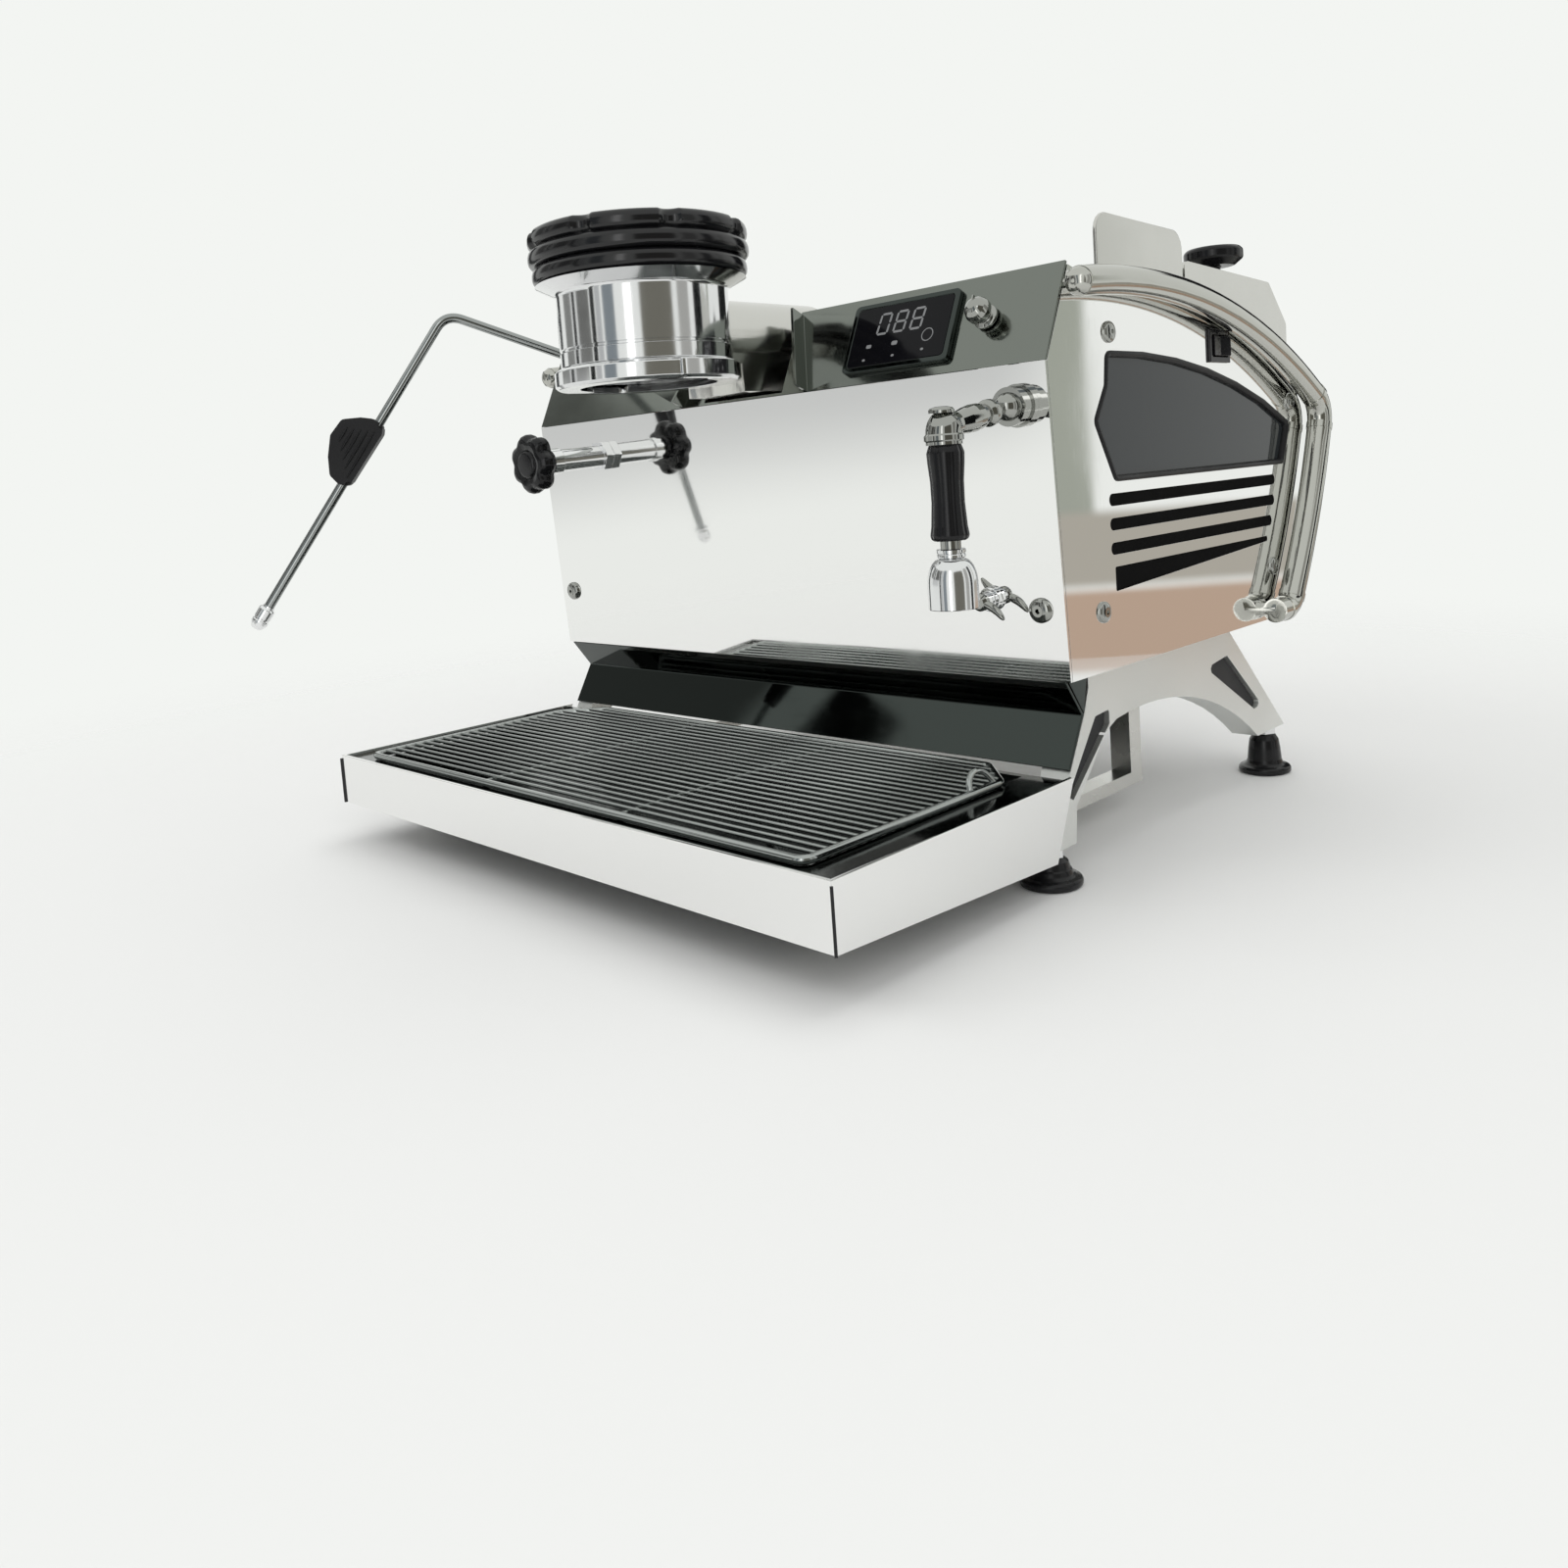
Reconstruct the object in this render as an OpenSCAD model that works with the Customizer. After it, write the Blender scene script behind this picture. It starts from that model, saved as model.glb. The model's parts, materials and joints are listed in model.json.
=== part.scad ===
// Compact one-group espresso machine: a polished sheet housing on two cast leg arches,
// with a cantilevered drip tray, a turned brew ring, a steam wand and a hot-water spout.
// X runs to the machine's right, Y to its back and Z up. Z = 0 is the counter.

/* [Housing] */
// Width over the side panels
body_w = 400; // [370:5:430]
// Counter to the underside of the housing
clearance_h = 96; // [92:1:110]
// Height of the front panel
front_h = 149; // [143:1:155]
// How far the front panel's top edge leans forward
front_lean = 8.5; // [6:0.5:11]
// Height of the control panel
control_h = 45.6; // [44:0.2:48]
// How far the control panel leans back
control_back = 21.2; // [19:0.2:23]
// Thickness of the front, control, rear and deck sheets
sheet_t = 1.5; // [1:0.1:2]
// Thickness of the side panels
side_t = 2; // [1.5:0.1:2.5]
// Seam between neighbouring sheets
seam = 0.3; // [0.2:0.05:0.5]
// Thickness of the floor pan
floor_t = 2; // [1.5:0.1:3]
// Height of the floor pan's flanges
floor_flange_h = 14; // [10:1:20]

/* [Frame tubes] */
// Diameter of the frame tubes
tube_d = 14; // [12:0.5:16]
// Gap between a tube and the side panel behind it
tube_gap = 2; // [1:0.5:4]
// Radius of the long arc over the side panel
crown_r = 440; // [420:5:460]
// Distance of the arc's highest point behind the front edge
crown_y = 60; // [50:1:70]
// Drop from the control panel's top edge to the highest tube centre
crown_drop = 8.2; // [6:0.2:10]
// Angle of the arc in front of its highest point
crown_front_deg = 6.7; // [5:0.1:7.5]
// Angle of the arc behind its highest point
crown_rear_deg = 29; // [27:0.5:31]
// Radius of the rear shoulder bend
shoulder_r = 16; // [14:1:20]
// Angle turned in the rear shoulder bend
shoulder_deg = 80; // [76:1:84]
// Radius of the tail that runs down the back
tail_r = 420; // [400:5:440]
// Radius of the bend at the foot of the tail
tail_bend_r = 14; // [12:1:18]
// Straight stretch at the tail's lower end
tail_run = 12; // [8:1:20]

/* [Side panels] */
// Radius of the window's top edge
window_r = 518; // [500:2:540]
// Drop from the deck's crown to the window's highest point
window_drop = 35.4; // [34:0.2:38]
// Height of the window's lower edge
window_low = 91.5; // [90:0.5:95]
// Front end of the window
window_front = 45; // [42:1:48]
// How far the window's nose bulges in front of that
window_bulge = 13; // [10:1:16]
// Rear end of the window
window_rear = 257; // [252:1:260]
// Fillet at the window's corners
window_fillet = 4; // [2:0.5:6]
// Thickness of the window pane
pane_t = 3; // [2:0.5:4]
// Height of the vent slots
slot_h = 6; // [4:0.5:8]
// Distance from one vent slot to the next
slot_pitch = 11.9; // [11:0.1:13]
// Front end of the vent slots
slot_front = 42; // [38:1:48]
// Length of the longest vent slot
slot_len = 192; // [170:1:195]
// Height of the tapered slot at its front end
taper_slot_h = 12; // [8:1:14]
// Length of the tapered slot
taper_slot_len = 176; // [150:1:180]
// Diameter of the side screws' heads
side_screw_d = 10.5; // [8:0.5:12]
// Rise of a domed screw head
screw_dome = 2.6; // [2:0.1:3]

/* [Deck and hood] */
// Height of the cup rail's top edge over the crown of the frame tubes
rail_h = 38; // [30:1:42]
// Length of the cup rail's side fins
rail_len = 90; // [80:1:94]
// Distance of the cup rail behind the front edge
rail_y = 60; // [56:1:64]
// Thickness of the cup rail
rail_t = 2; // [1.5:0.1:3]
// Radius of the cup rail's front corners
rail_corner = 10; // [6:1:12]
// Distance of the cup rail and hood inside the side panels' faces
rail_inset = 11; // [9:0.5:14]
// Height of the hood's front edge over the crown of the frame tubes
hood_h = 20; // [16:1:24]
// Slope of the hood's top
hood_slope = 4; // [2:0.5:6]
// Length of the hood
hood_len = 133; // [124:1:135]
// Radius of the hood's rear shoulder
hood_shoulder = 24; // [16:1:28]
// Diameter of the hood's knob
hood_knob_d = 34; // [30:1:38]
// Height of the hood's knob
hood_knob_h = 11; // [9:0.5:14]
// Distance of the hood's knob inside its right side
hood_knob_in = 20; // [18:1:40]

/* [Legs and feet] */
// Thickness of a leg casting
leg_t = 16; // [14:1:20]
// How far the leg stands inside the side panel's face
leg_inset = 3; // [2.5:0.5:6]
// Height of a front leg's end over the counter
front_ankle_h = 18; // [16:1:22]
// Height of a rear leg's end over the counter
rear_ankle_h = 28; // [26:1:32]
// Radius of the arch under the leg
arch_r = 216; // [205:1:225]
// Depth of the leg casting at the top of its arch
arch_drop = 24; // [20:1:28]
// Distance of the front feet from the front edge
front_foot_y = -8; // [-10:0.5:-6]
// Distance of the rear feet from the front edge
rear_foot_y = 232; // [226:1:238]
// Depth of the recesses in the legs
recess_depth = 4; // [2:0.5:6]
// Diameter of the rubber feet
foot_d = 30; // [26:1:34]
// Diameter of the foot studs
stud_d = 8; // [6:1:10]
// Length of a foot stud inside the leg
stud_grip = 8; // [5:1:12]

/* [Drip tray] */
// How far the drip tray stands out beyond each side panel
tray_over = 1; // [0:0.5:4]
// Distance of the tray's front face in front of the housing's front edge
tray_reach = 171; // [160:1:180]
// Drop from the housing's underside to the tray's top edge
tray_drop = 44; // [43:0.5:46]
// Height of the tray's skirt at the front
skirt_front_h = 29; // [27:0.5:32]
// Height of the tray's skirt at the rear
skirt_rear_h = 37; // [36:0.5:38]
// Thickness of the tray's skirt
skirt_t = 2; // [1.5:0.1:2.5]
// Width of the flat rim beside the grate
rim_w = 26; // [22:1:30]
// Depth of the drip pan at its front
pan_depth = 20; // [16:0.5:21]
// Distance of the pan's fold behind its front
fold_y = 72; // [60:1:90]
// Spacing of the grate's wires
wire_pitch = 6.3; // [6:0.1:7]
// Diameter of the grate's wires
wire_d = 2.4; // [2:0.1:2.6]
// Diameter of the grate's border rod
border_d = 4; // [3:0.1:4.5]

/* [Group] */
// Distance of the group's axis in front of the housing's front edge
group_reach = 74; // [70:1:78]
// Height of the group's underside over the front panel's top edge
group_rise = 8; // [7:1:11]
// Diameter of the group's barrel
group_d = 90; // [86:1:92]
// Diameter of the bayonet ring
bayonet_d = 97.6; // [95:0.2:100]
// Height of the bayonet ring
bayonet_h = 10; // [9:0.5:12]
// Bore of the bayonet ring
bayonet_bore = 72; // [70:0.5:74]
// Angle of each of the two lug gaps
lug_gap_deg = 34; // [28:1:40]
// Height of the barrel over the bayonet ring
barrel_h = 38; // [36:1:40]
// Height of the cone under the brew ring
cone_h = 5; // [4:0.5:6]
// Diameter of the brew ring
ring_d = 115; // [112:1:118]
// Height of the brew ring
ring_h = 27; // [25:1:30]
// Number of ribs round the brew ring
ring_ribs = 3; // [2:1:4]
// Number of finger notches in the ring's top edge
ring_notches = 8; // [6:1:12]
// Radial clearance of the turning pieces
run_clear = 0.05; // [0.02:0.01:0.09]
// Width of the neck's body
neck_w = 46; // [42:1:48]
// Diameter of the neck's round cover
neck_d = 54; // [50:1:56]

/* [Steam] */
// Distance of the steam valve inside the left side panel's face
valve_inset = 68; // [50:1:72]
// Drop from the front panel's top edge to the steam valve
valve_drop = 23; // [20:1:28]
// Diameter of the steam valve's barrel
valve_d = 14; // [12:0.5:16]
// Length of the steam valve's barrel
valve_len = 44; // [40:1:46]
// Diameter of the steam valve's stem
stem_d = 8; // [6:0.5:9]
// Diameter of the steam knob
knob_d = 37; // [32:1:42]
// Height of the steam knob
knob_h = 15; // [12:1:18]
// Number of lobes round the steam knob
knob_lobes = 7; // [6:1:9]
// Diameter of the steam wand
wand_d = 6; // [5:0.5:8]
// Distance of the wand's socket inside the left side panel's face
wand_inset = 60; // [50:1:64]
// Height of the wand's socket up the control panel
wand_h = 34; // [30:1:37]
// How far the wand reaches forward before its bend
wand_out = 83; // [78:1:88]
// How far the wand leans to the left before its bend
wand_side = 40; // [36:1:46]
// How far the wand rises before its bend
wand_rise = 36; // [33:1:40]
// How far the wand's tip lies forward of its bend
tip_out = 105; // [98:1:112]
// How far the wand's tip lies to the left of its bend
tip_side = 80; // [74:1:86]
// How far the wand's tip lies under its bend
tip_drop = 186; // [178:1:192]
// Bend radius of the wand
wand_bend = 13; // [10:1:18]
// Length of the wand's grip
grip_len = 46; // [40:1:52]

/* [Hot water] */
// Distance of the spout's socket inside the right side panel's face
spout_inset = 15; // [14:1:22]
// Drop from the front panel's top edge to the spout's socket
spout_under = 19; // [16:1:22]
// Reach of the spout's arm
spout_reach = 48; // [44:1:52]
// Drop of the spout's arm to its elbow
spout_drop = 8; // [6:1:10]
// Diameter of the spout's arm
spout_d = 9; // [8:0.5:10]
// Diameter of the spout's rubber sleeve
sleeve_d = 17; // [15:0.5:19]
// Length of the spout's rubber sleeve
sleeve_len = 43; // [38:1:46]
// Diameter of the spout's bell
bell_d = 22; // [20:0.5:24]
// Height of the spout's bell
bell_h = 26; // [22:1:28]
// Distance of the bleed cock inside the right side panel's face
cock_inset = 40; // [36:1:50]
// Height of the bleed cock up the front panel
cock_h = 39; // [37:1:45]

/* [Controls] */
// Width of the display
display_w = 68; // [60:1:72]
// Height of the display
display_h = 39; // [34:1:40]
// Distance of the display's middle inside the right side panel's face
display_inset = 89; // [86:1:94]
// Thickness of the display's frame
display_t = 3; // [2:0.5:4]
// Width of the display's frame
display_rim = 3; // [2:0.5:4]
// Distance of the selector knob inside the right side panel's face
selector_inset = 37; // [30:1:40]
// Diameter of the selector knob
selector_d = 13; // [10:0.5:15]
// Length of the rocker switch
rocker_len = 21; // [18:0.5:23]
// Height of the rocker switch
rocker_h = 15; // [14:0.5:18]
// Distance of the rocker switch behind the front edge
rocker_y = 165; // [155:1:170]
// Drop from the deck's face to the rocker switch
rocker_drop = 17.8; // [17.4:0.2:19]
// How far the rocker tips
rocker_tip = 10; // [6:1:12]

/* [Inside] */
// Diameter of the brew boiler
brew_boiler_d = 84; // [76:1:86]
// Length of the brew boiler
brew_boiler_len = 150; // [130:5:170]
// Diameter of the steam boiler
steam_boiler_d = 100; // [90:1:104]
// Length of the steam boiler
steam_boiler_len = 210; // [180:5:220]
// Diameter of the pump motor
motor_d = 62; // [54:1:66]
// Length of the pump motor
motor_len = 90; // [80:1:100]
// Diameter of the water lines
line_d = 8; // [6:0.5:10]
// Diameter of the water inlet's thread
inlet_d = 20.9; // [16:0.1:21]
// Length of the water inlet's thread
inlet_len = 14; // [10:1:18]

/* [Hidden] */
$fn = 64;
// extra length of a cut, so that it passes its faces
over = 1;
// gap between pieces that lie against each other
touch = 0.02;

// Point at angle a from straight up, in the side plane (y, z)
function ray(a) = [sin(a), cos(a)];
function arc(c, r, a0, a1, n = 10) = [for (i = [0:n]) c + r * ray(a0 + (a1 - a0) * i / n)];
function unit(v) = v / norm(v);
// Closed outline p with every corner rounded to radius r
function rounded(p, r, n = 4) = [
    for (i = [0:len(p) - 1])
        let (a = p[(i + len(p) - 1) % len(p)], b = p[i], c = p[(i + 1) % len(p)])
        let (u = unit(a - b), v = unit(c - b), half = acos(u * v) / 2)
        let (m = b + unit(u + v) * r / sin(half), s = b + u * r / tan(half) - m)
        let (e = b + v * r / tan(half) - m)
        for (k = [0:n]) m + r * unit(s * (n - k) + e * k)
];

// --- housing -------------------------------------------------------------------------
side_x = body_w / 2 - side_t;             // inner face of the right side panel
// Distances from the centre plane
valve_x = body_w / 2 - valve_inset;
wand_x = body_w / 2 - wand_inset;
spout_x = body_w / 2 - spout_inset;
cock_x = body_w / 2 - cock_inset;
display_x = body_w / 2 - display_inset;
selector_x = body_w / 2 - selector_inset;
// Heights up the front panel, and the group's height over the floor
valve_h = front_h - valve_drop;
spout_h = front_h - spout_under;
group_low = front_h + group_rise;
control_top = [control_back - front_lean, front_h + control_h];
front_tilt = atan(front_lean / front_h);  // the front panel leans forward
control_tilt = atan(control_back / control_h);
control_len = norm([control_back, control_h]);

// --- frame tube, centre line in the side plane over the housing's underside -------------
tube_x = body_w / 2 + tube_gap + tube_d / 2;
collar_lip = 0.4;                         // how far a joint collar stands out
tube_edge = 3;                            // how far the sheets reach beyond the centre line
crown_c = [crown_y, control_top[1] - crown_drop - crown_r];
shoulder_c = crown_c + (crown_r - shoulder_r) * ray(crown_rear_deg);
tail_top_deg = crown_rear_deg + shoulder_deg;
tail_c = shoulder_c - (tail_r - shoulder_r) * ray(tail_top_deg);
tail_low = tube_d / 2 + tail_bend_r;
tail_end_deg = acos((tail_low - tail_c[1]) / (tail_r - tail_bend_r));
tail_bend_c = tail_c + (tail_r - tail_bend_r) * ray(tail_end_deg);
sheet_r = crown_r + tube_edge;
deck_top = crown_c[1] + sheet_r;
deck_front_deg = asin((control_top[0] + 18 - crown_y) / sheet_r);
shoulder_sheet_r = shoulder_r + tube_edge;
tail_sheet_r = tail_r + tube_edge;
tail_floor_deg = acos(-tail_c[1] / tail_sheet_r);
floor_d = tail_c[0] + tail_sheet_r * sin(tail_floor_deg);
// Height of the deck's face and depth of the rear panel's face
function deck_z(y) = crown_c[1] + sqrt(pow(sheet_r, 2) - pow(y - crown_c[0], 2));
function rear_y(z) = tail_c[0] + sqrt(pow(tail_sheet_r, 2) - pow(z - tail_c[1], 2));

// --- steam wand ------------------------------------------------------------------------
ball_out = 9;                             // ball centre in front of the control panel
ball_r = 8;
up_control = [0, control_back, control_h] / control_len;
out_control = [0, -up_control[2], up_control[1]];
wand_root = [-wand_x, -front_lean, clearance_h + front_h] + wand_h * up_control + ball_out * out_control;
wand_bend_at = [-wand_side, -wand_out, wand_rise];
wand_tip_at = wand_bend_at + [-tip_side, -tip_out, -tip_drop];
wand_tip_r = 5;

// --- the drawing's origin: under the middle of the whole machine ------------------------
wand_lean = unit(wand_tip_at - wand_bend_at);
x_low = wand_root[0] + wand_tip_at[0] - wand_tip_r * sqrt(1 - pow(wand_lean[0], 2));
x_high = body_w / 2 + tube_gap + tube_d + collar_lip;
y_low = wand_root[1] + wand_tip_at[1] - wand_tip_r * sqrt(1 - pow(wand_lean[1], 2));
y_high = shoulder_c[0] + shoulder_r + tube_d / 2;
middle = [(x_low + x_high) / 2, (min(y_low, -tray_reach) + y_high) / 2];

// Colours of the finishes
steel = "gainsboro";
dark_steel = "dimgray";
chrome = "silver";
cast = "lightgray";
black = "#1a1a1a";
brass = "goldenrod";
copper = "peru";

// Places the machine frame: origin on the counter, in the middle of the whole machine
module place() translate([-middle[0], -middle[1], 0]) children();
// The same, with z = 0 at the housing's underside
module housing() place() translate([0, 0, clearance_h]) children();
// A side-plane outline (y, z) extruded along x from x0 over length w
module side_extrude(points, x0, w)
    translate([x0, 0, 0]) rotate([90, 0, 90]) linear_extrude(w) polygon(points);
// Frames with x across, z up the sheet and -y out of its face
module on_front() housing() rotate([front_tilt, 0, 0]) children();
module on_control() housing() translate([0, -front_lean, front_h]) rotate([-control_tilt, 0, 0]) children();
// A cylinder that points out of a sheet, from depth y0 over length h
module out(d, y0, h) translate([0, -y0, 0]) rotate([90, 0, 0]) cylinder(d = d, h = h);
// A cylinder along x
module along_x(d, h) rotate([0, 90, 0]) cylinder(d = d, h = h);
// Both sides of the machine
module both() for (s = [-1, 1]) mirror([s < 0 ? 1 : 0, 0, 0]) children();
module side(s) mirror([s < 0 ? 1 : 0, 0, 0]) children();

// --- housing sheets --------------------------------------------------------------------
side_front = sheet_t + seam;
side_outline = concat(
    [[side_front, 0], [side_front - front_lean, front_h], control_top + [side_front, -side_front]],
    arc(crown_c, sheet_r, deck_front_deg, crown_rear_deg, 14),
    arc(shoulder_c, shoulder_sheet_r, crown_rear_deg, tail_top_deg, 6),
    arc(tail_c, tail_sheet_r, tail_top_deg, tail_floor_deg, 8));

// Outline of the window, grown outward by g
window_top = deck_top - window_drop;
window_c = [window_front + 18, window_top - window_r];
function window_z(y, g) = window_c[1] + sqrt(pow(window_r + g, 2) - pow(y - window_c[0], 2));
function window_outline(g) = rounded([
    [window_front - g, window_z(window_front, g)],
    for (k = [1:5]) let (y = window_front + (window_rear - window_front) * k / 6) [y, window_z(y, g)],
    [window_rear + g, window_z(window_rear, g) - 1],
    [window_rear - 11 + g, window_low - g],
    [window_front + 4 - g, window_low - g],
    [window_front - window_bulge - g, window_low + 29],
    [window_front - 2 - g, window_low + 46]
], window_fillet, 3);

slot_rows = [0, 1, 2];
slot_top = window_low - 9.2;
module slot_cuts() {
    for (i = slot_rows) {
        length = slot_len - 3 * i * i / 2;
        translate([0, slot_front, slot_top - i * slot_pitch]) {
            for (y = [slot_h / 2, length - slot_h / 2])
                translate([side_x - over, y, 0]) along_x(slot_h, side_t + 2 * over);
            translate([side_x - over, slot_h / 2, -slot_h / 2])
                cube([side_t + 2 * over, length - slot_h, slot_h]);
        }
    }
    taper_z = slot_top - 3 * slot_pitch;
    side_extrude(rounded([
        [slot_front + 3, taper_z + 3],
        [slot_front + 3 + taper_slot_len, taper_z + 3],
        [slot_front + 3 + taper_slot_len, taper_z],
        [slot_front + 3, taper_z + 3 - taper_slot_h]
    ], 1), side_x - over, side_t + 2 * over);
}

// Screw places on a side panel: (y, z)
screw_places = [
    [48, window_top + 9], [floor_d + 32, window_top - 26], [32, 29], [floor_d + 2, 31]
];
side_hole_d = 5;
rocker_z = deck_z(rocker_y) - rocker_drop;
module side_panel(s) side(s) difference() {
    side_extrude(side_outline, side_x, side_t);
    side_extrude(window_outline(0), side_x - over, side_t + 2 * over);
    slot_cuts();
    for (p = screw_places)
        translate([side_x - over, p[0], p[1]]) along_x(side_hole_d, side_t + 2 * over);
    if (s > 0)
        translate([side_x - over, rocker_y - rocker_len / 2, rocker_z - rocker_h / 2])
            cube([side_t + 2 * over, rocker_len, rocker_h]);
}
module side_panel_right() color(steel) housing() side_panel(1);
module side_panel_left() color(steel) housing() side_panel(-1);

// The pane backs the window and the slots under it
pane_grow = 5;
pane_lap = 3;
pane_low = slot_top - 3 * slot_pitch + 3 - taper_slot_h - pane_lap;
module side_window(s) housing() side(s) {
    side_extrude(window_outline(pane_grow), side_x - touch - pane_t, pane_t);
    translate([side_x - touch - pane_t, slot_front - pane_lap, pane_low])
        cube([pane_t, slot_len + 2 * pane_lap, window_low + over - pane_low]);
}
module side_window_right() color([0.12, 0.13, 0.14, 0.7]) side_window(1);
module side_window_left() color([0.12, 0.13, 0.14, 0.7]) side_window(-1);

// One tube: long crown arc, shoulder bend, tail arc, a bend and a short run under the panel
// An arc stops short of its ends, inside the collars that join it to the next one
joint_gap = 0.5;
module tube_arc(c, r, a0, a1, low, high) {
    from = a0 + (low ? joint_gap / r : 0) * 180 / PI;
    to = a1 - (high ? joint_gap / r : 0) * 180 / PI;
    translate([c[0], c[1], 0]) rotate(90 - to) rotate_extrude(angle = to - from)
        translate([r, 0]) circle(d = tube_d);
}
collar_len = 4;
collar_d = tube_d + 2 * collar_lip;
tube_foot_d = 8;
cap_r = tube_d / 2 - collar_lip;
module collar(at, turn) translate(at) rotate([0, 0, -turn]) translate([-collar_len / 2, 0, 0])
    rotate([0, 90, 0]) cylinder(d = collar_d, h = collar_len);
module frame_tube(s) housing() side(s) translate([tube_x, 0, 0]) rotate([90, 0, 90]) {
    start = crown_c + crown_r * ray(-crown_front_deg);
    tube_arc(crown_c, crown_r, -crown_front_deg, crown_rear_deg, false, true);
    collar(crown_c + crown_r * ray(crown_rear_deg), crown_rear_deg);
    tube_arc(shoulder_c, shoulder_r, crown_rear_deg, tail_top_deg, true, true);
    collar(tail_c + tail_r * ray(tail_top_deg), tail_top_deg);
    tube_arc(tail_c, tail_r, tail_top_deg, tail_end_deg, true, true);
    collar(tail_bend_c + tail_bend_r * ray(tail_end_deg), tail_end_deg);
    tube_arc(tail_bend_c, tail_bend_r, tail_end_deg, 180, true, true);
    collar(tail_bend_c - [0, tail_bend_r], 180);
    translate([tail_bend_c[0] - joint_gap, tail_bend_c[1] - tail_bend_r, 0]) rotate([0, -90, 0])
        cylinder(d = tube_d, h = tail_run);
    // rounded front end
    translate(start) rotate([0, 0, crown_front_deg]) rotate([0, -90, 0]) rotate_extrude() polygon([
        [0, -over], [cap_r, -over], [cap_r, 1], [cap_r - 1.2, 3.4], [cap_r - 3.6, 5], [0, 5.6]]);
    // standing pegs that meet the side panel
    for (p = [start + [4, 0], tail_bend_c + [-tail_run / 2 - 3, -tail_bend_r]])
        translate([p[0], p[1], -tube_d / 2 - tube_gap + touch])
            cylinder(d = tube_foot_d, h = tube_d / 2 + tube_gap);
}
module frame_tube_right() color(chrome) frame_tube(1);
module frame_tube_left() color(chrome) frame_tube(-1);

// Places on the front panel: (x, height up the panel)
front_bolts = [[-body_w / 2 + 13, 36], [body_w / 2 - 13, 34]];
front_bolt_d = 12;
front_hole_d = 6;
front_len = norm([front_lean, front_h]);
module front_panel() color(steel) on_front() difference() {
    translate([-body_w / 2, 0, 0]) cube([body_w, sheet_t, front_len - seam]);
    for (b = front_bolts) translate([b[0], 0, b[1]]) out(front_hole_d, -over - sheet_t, sheet_t + 2 * over);
    translate([-valve_x, 0, valve_h]) out(valve_d, -over - sheet_t, sheet_t + 2 * over);
    translate([spout_x, 0, spout_h]) out(spout_tail_d, -over - sheet_t, sheet_t + 2 * over);
    translate([cock_x, 0, cock_h]) out(cock_tail_d, -over - sheet_t, sheet_t + 2 * over);
}

neck_gap = 5;
notch_w = neck_d + 2 * neck_gap;
trim_out = 9;
trim_t = 2;
trim_spread = 20;
wand_hole_d = 14;
selector_h = 26;
selector_shaft_d = 6;
module control_panel() color(dark_steel) on_control() {
    difference() {
        // its lower edge is mitred to stand on the front panel
        side_extrude([
            [0, 0], [sheet_t, sheet_t * tan(control_tilt)], [sheet_t, control_len], [0, control_len]
        ], -body_w / 2, body_w);
        translate([-notch_w / 2, -over, sheet_t]) cube([notch_w, sheet_t + 2 * over, control_len]);
        translate([-wand_x, 0, wand_h]) out(wand_hole_d, -over - sheet_t, sheet_t + 2 * over);
        translate([selector_x, 0, selector_h])
            out(selector_shaft_d + 2 * run_clear, -over - sheet_t, sheet_t + 2 * over);
    }
    // cheeks of the neck's cut-out, wide at the bottom
    both() rotate([90, 0, 0]) linear_extrude(trim_out) polygon([
        [notch_w / 2, control_len - 2], [notch_w / 2 + trim_t, control_len - 2],
        [notch_w / 2 + trim_spread, 0], [notch_w / 2 + trim_spread - trim_t, 0]]);
}

// Folded sheet between the front panel and the drip tray
fold_back = 13;
fold_drop = 18;
splash_end = [-1, -tray_drop + 2];
splash_x = body_w / 2 - leg_inset;
splash_t = 1.5;
module backsplash() color(dark_steel) housing() {
    side_extrude([[0, -seam], [fold_back, -fold_drop], splash_end, splash_end + [splash_t * 1.3, 0],
        [fold_back + splash_t * 1.3, -fold_drop], [splash_t * 1.3, -seam]], -splash_x, 2 * splash_x);
    // end plates that close the fold under the housing
    both() side_extrude([[splash_t * 2, -seam], [19, -seam], [fold_back + splash_t * 1.5, -fold_drop]],
        splash_x - splash_t, splash_t);
}

deck_x = side_x - seam;
deck_notch_end = 50;
module top_deck() color(steel) housing() difference() {
    side_extrude(concat(
        [control_top + [sheet_t + seam, 0]],
        arc(crown_c, sheet_r, deck_front_deg, crown_rear_deg - 0.1, 14),
        arc(crown_c, sheet_r - sheet_t, crown_rear_deg - 0.1, deck_front_deg, 14),
        [control_top + [sheet_t + seam, -sheet_t]]), -deck_x, 2 * deck_x);
    translate([-notch_w / 2, 0, control_top[1] - 20]) cube([notch_w, deck_notch_end, 40]);
}

rail_x = body_w / 2 - rail_inset;
rail_end = rail_y + rail_len;
rail_top = control_top[1] - crown_drop + rail_h;
hood_top = control_top[1] - crown_drop + hood_h;
module cup_rail() color(steel) housing() {
    both() difference() {
        side_extrude(rounded([[rail_y, 150], [rail_y, rail_top], [rail_end, rail_top - 3], [rail_end, 150]],
            rail_corner, 6), rail_x - rail_t, rail_t);
        side_extrude(concat([[0, 0]],
            arc(crown_c, sheet_r + touch, deck_front_deg, crown_rear_deg - 0.1, 14), [[rail_end + 60, 0]]),
            rail_x - rail_t - over, rail_t + 2 * over);
    }
    // rear cross wall in front of the hood
    translate([-rail_x + rail_t, rail_end - 4 - rail_t, deck_z(rail_end - 4 - rail_t) + touch])
        cube([2 * (rail_x - rail_t), rail_t, hood_top - deck_z(rail_end - 4) - 4]);
}

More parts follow.
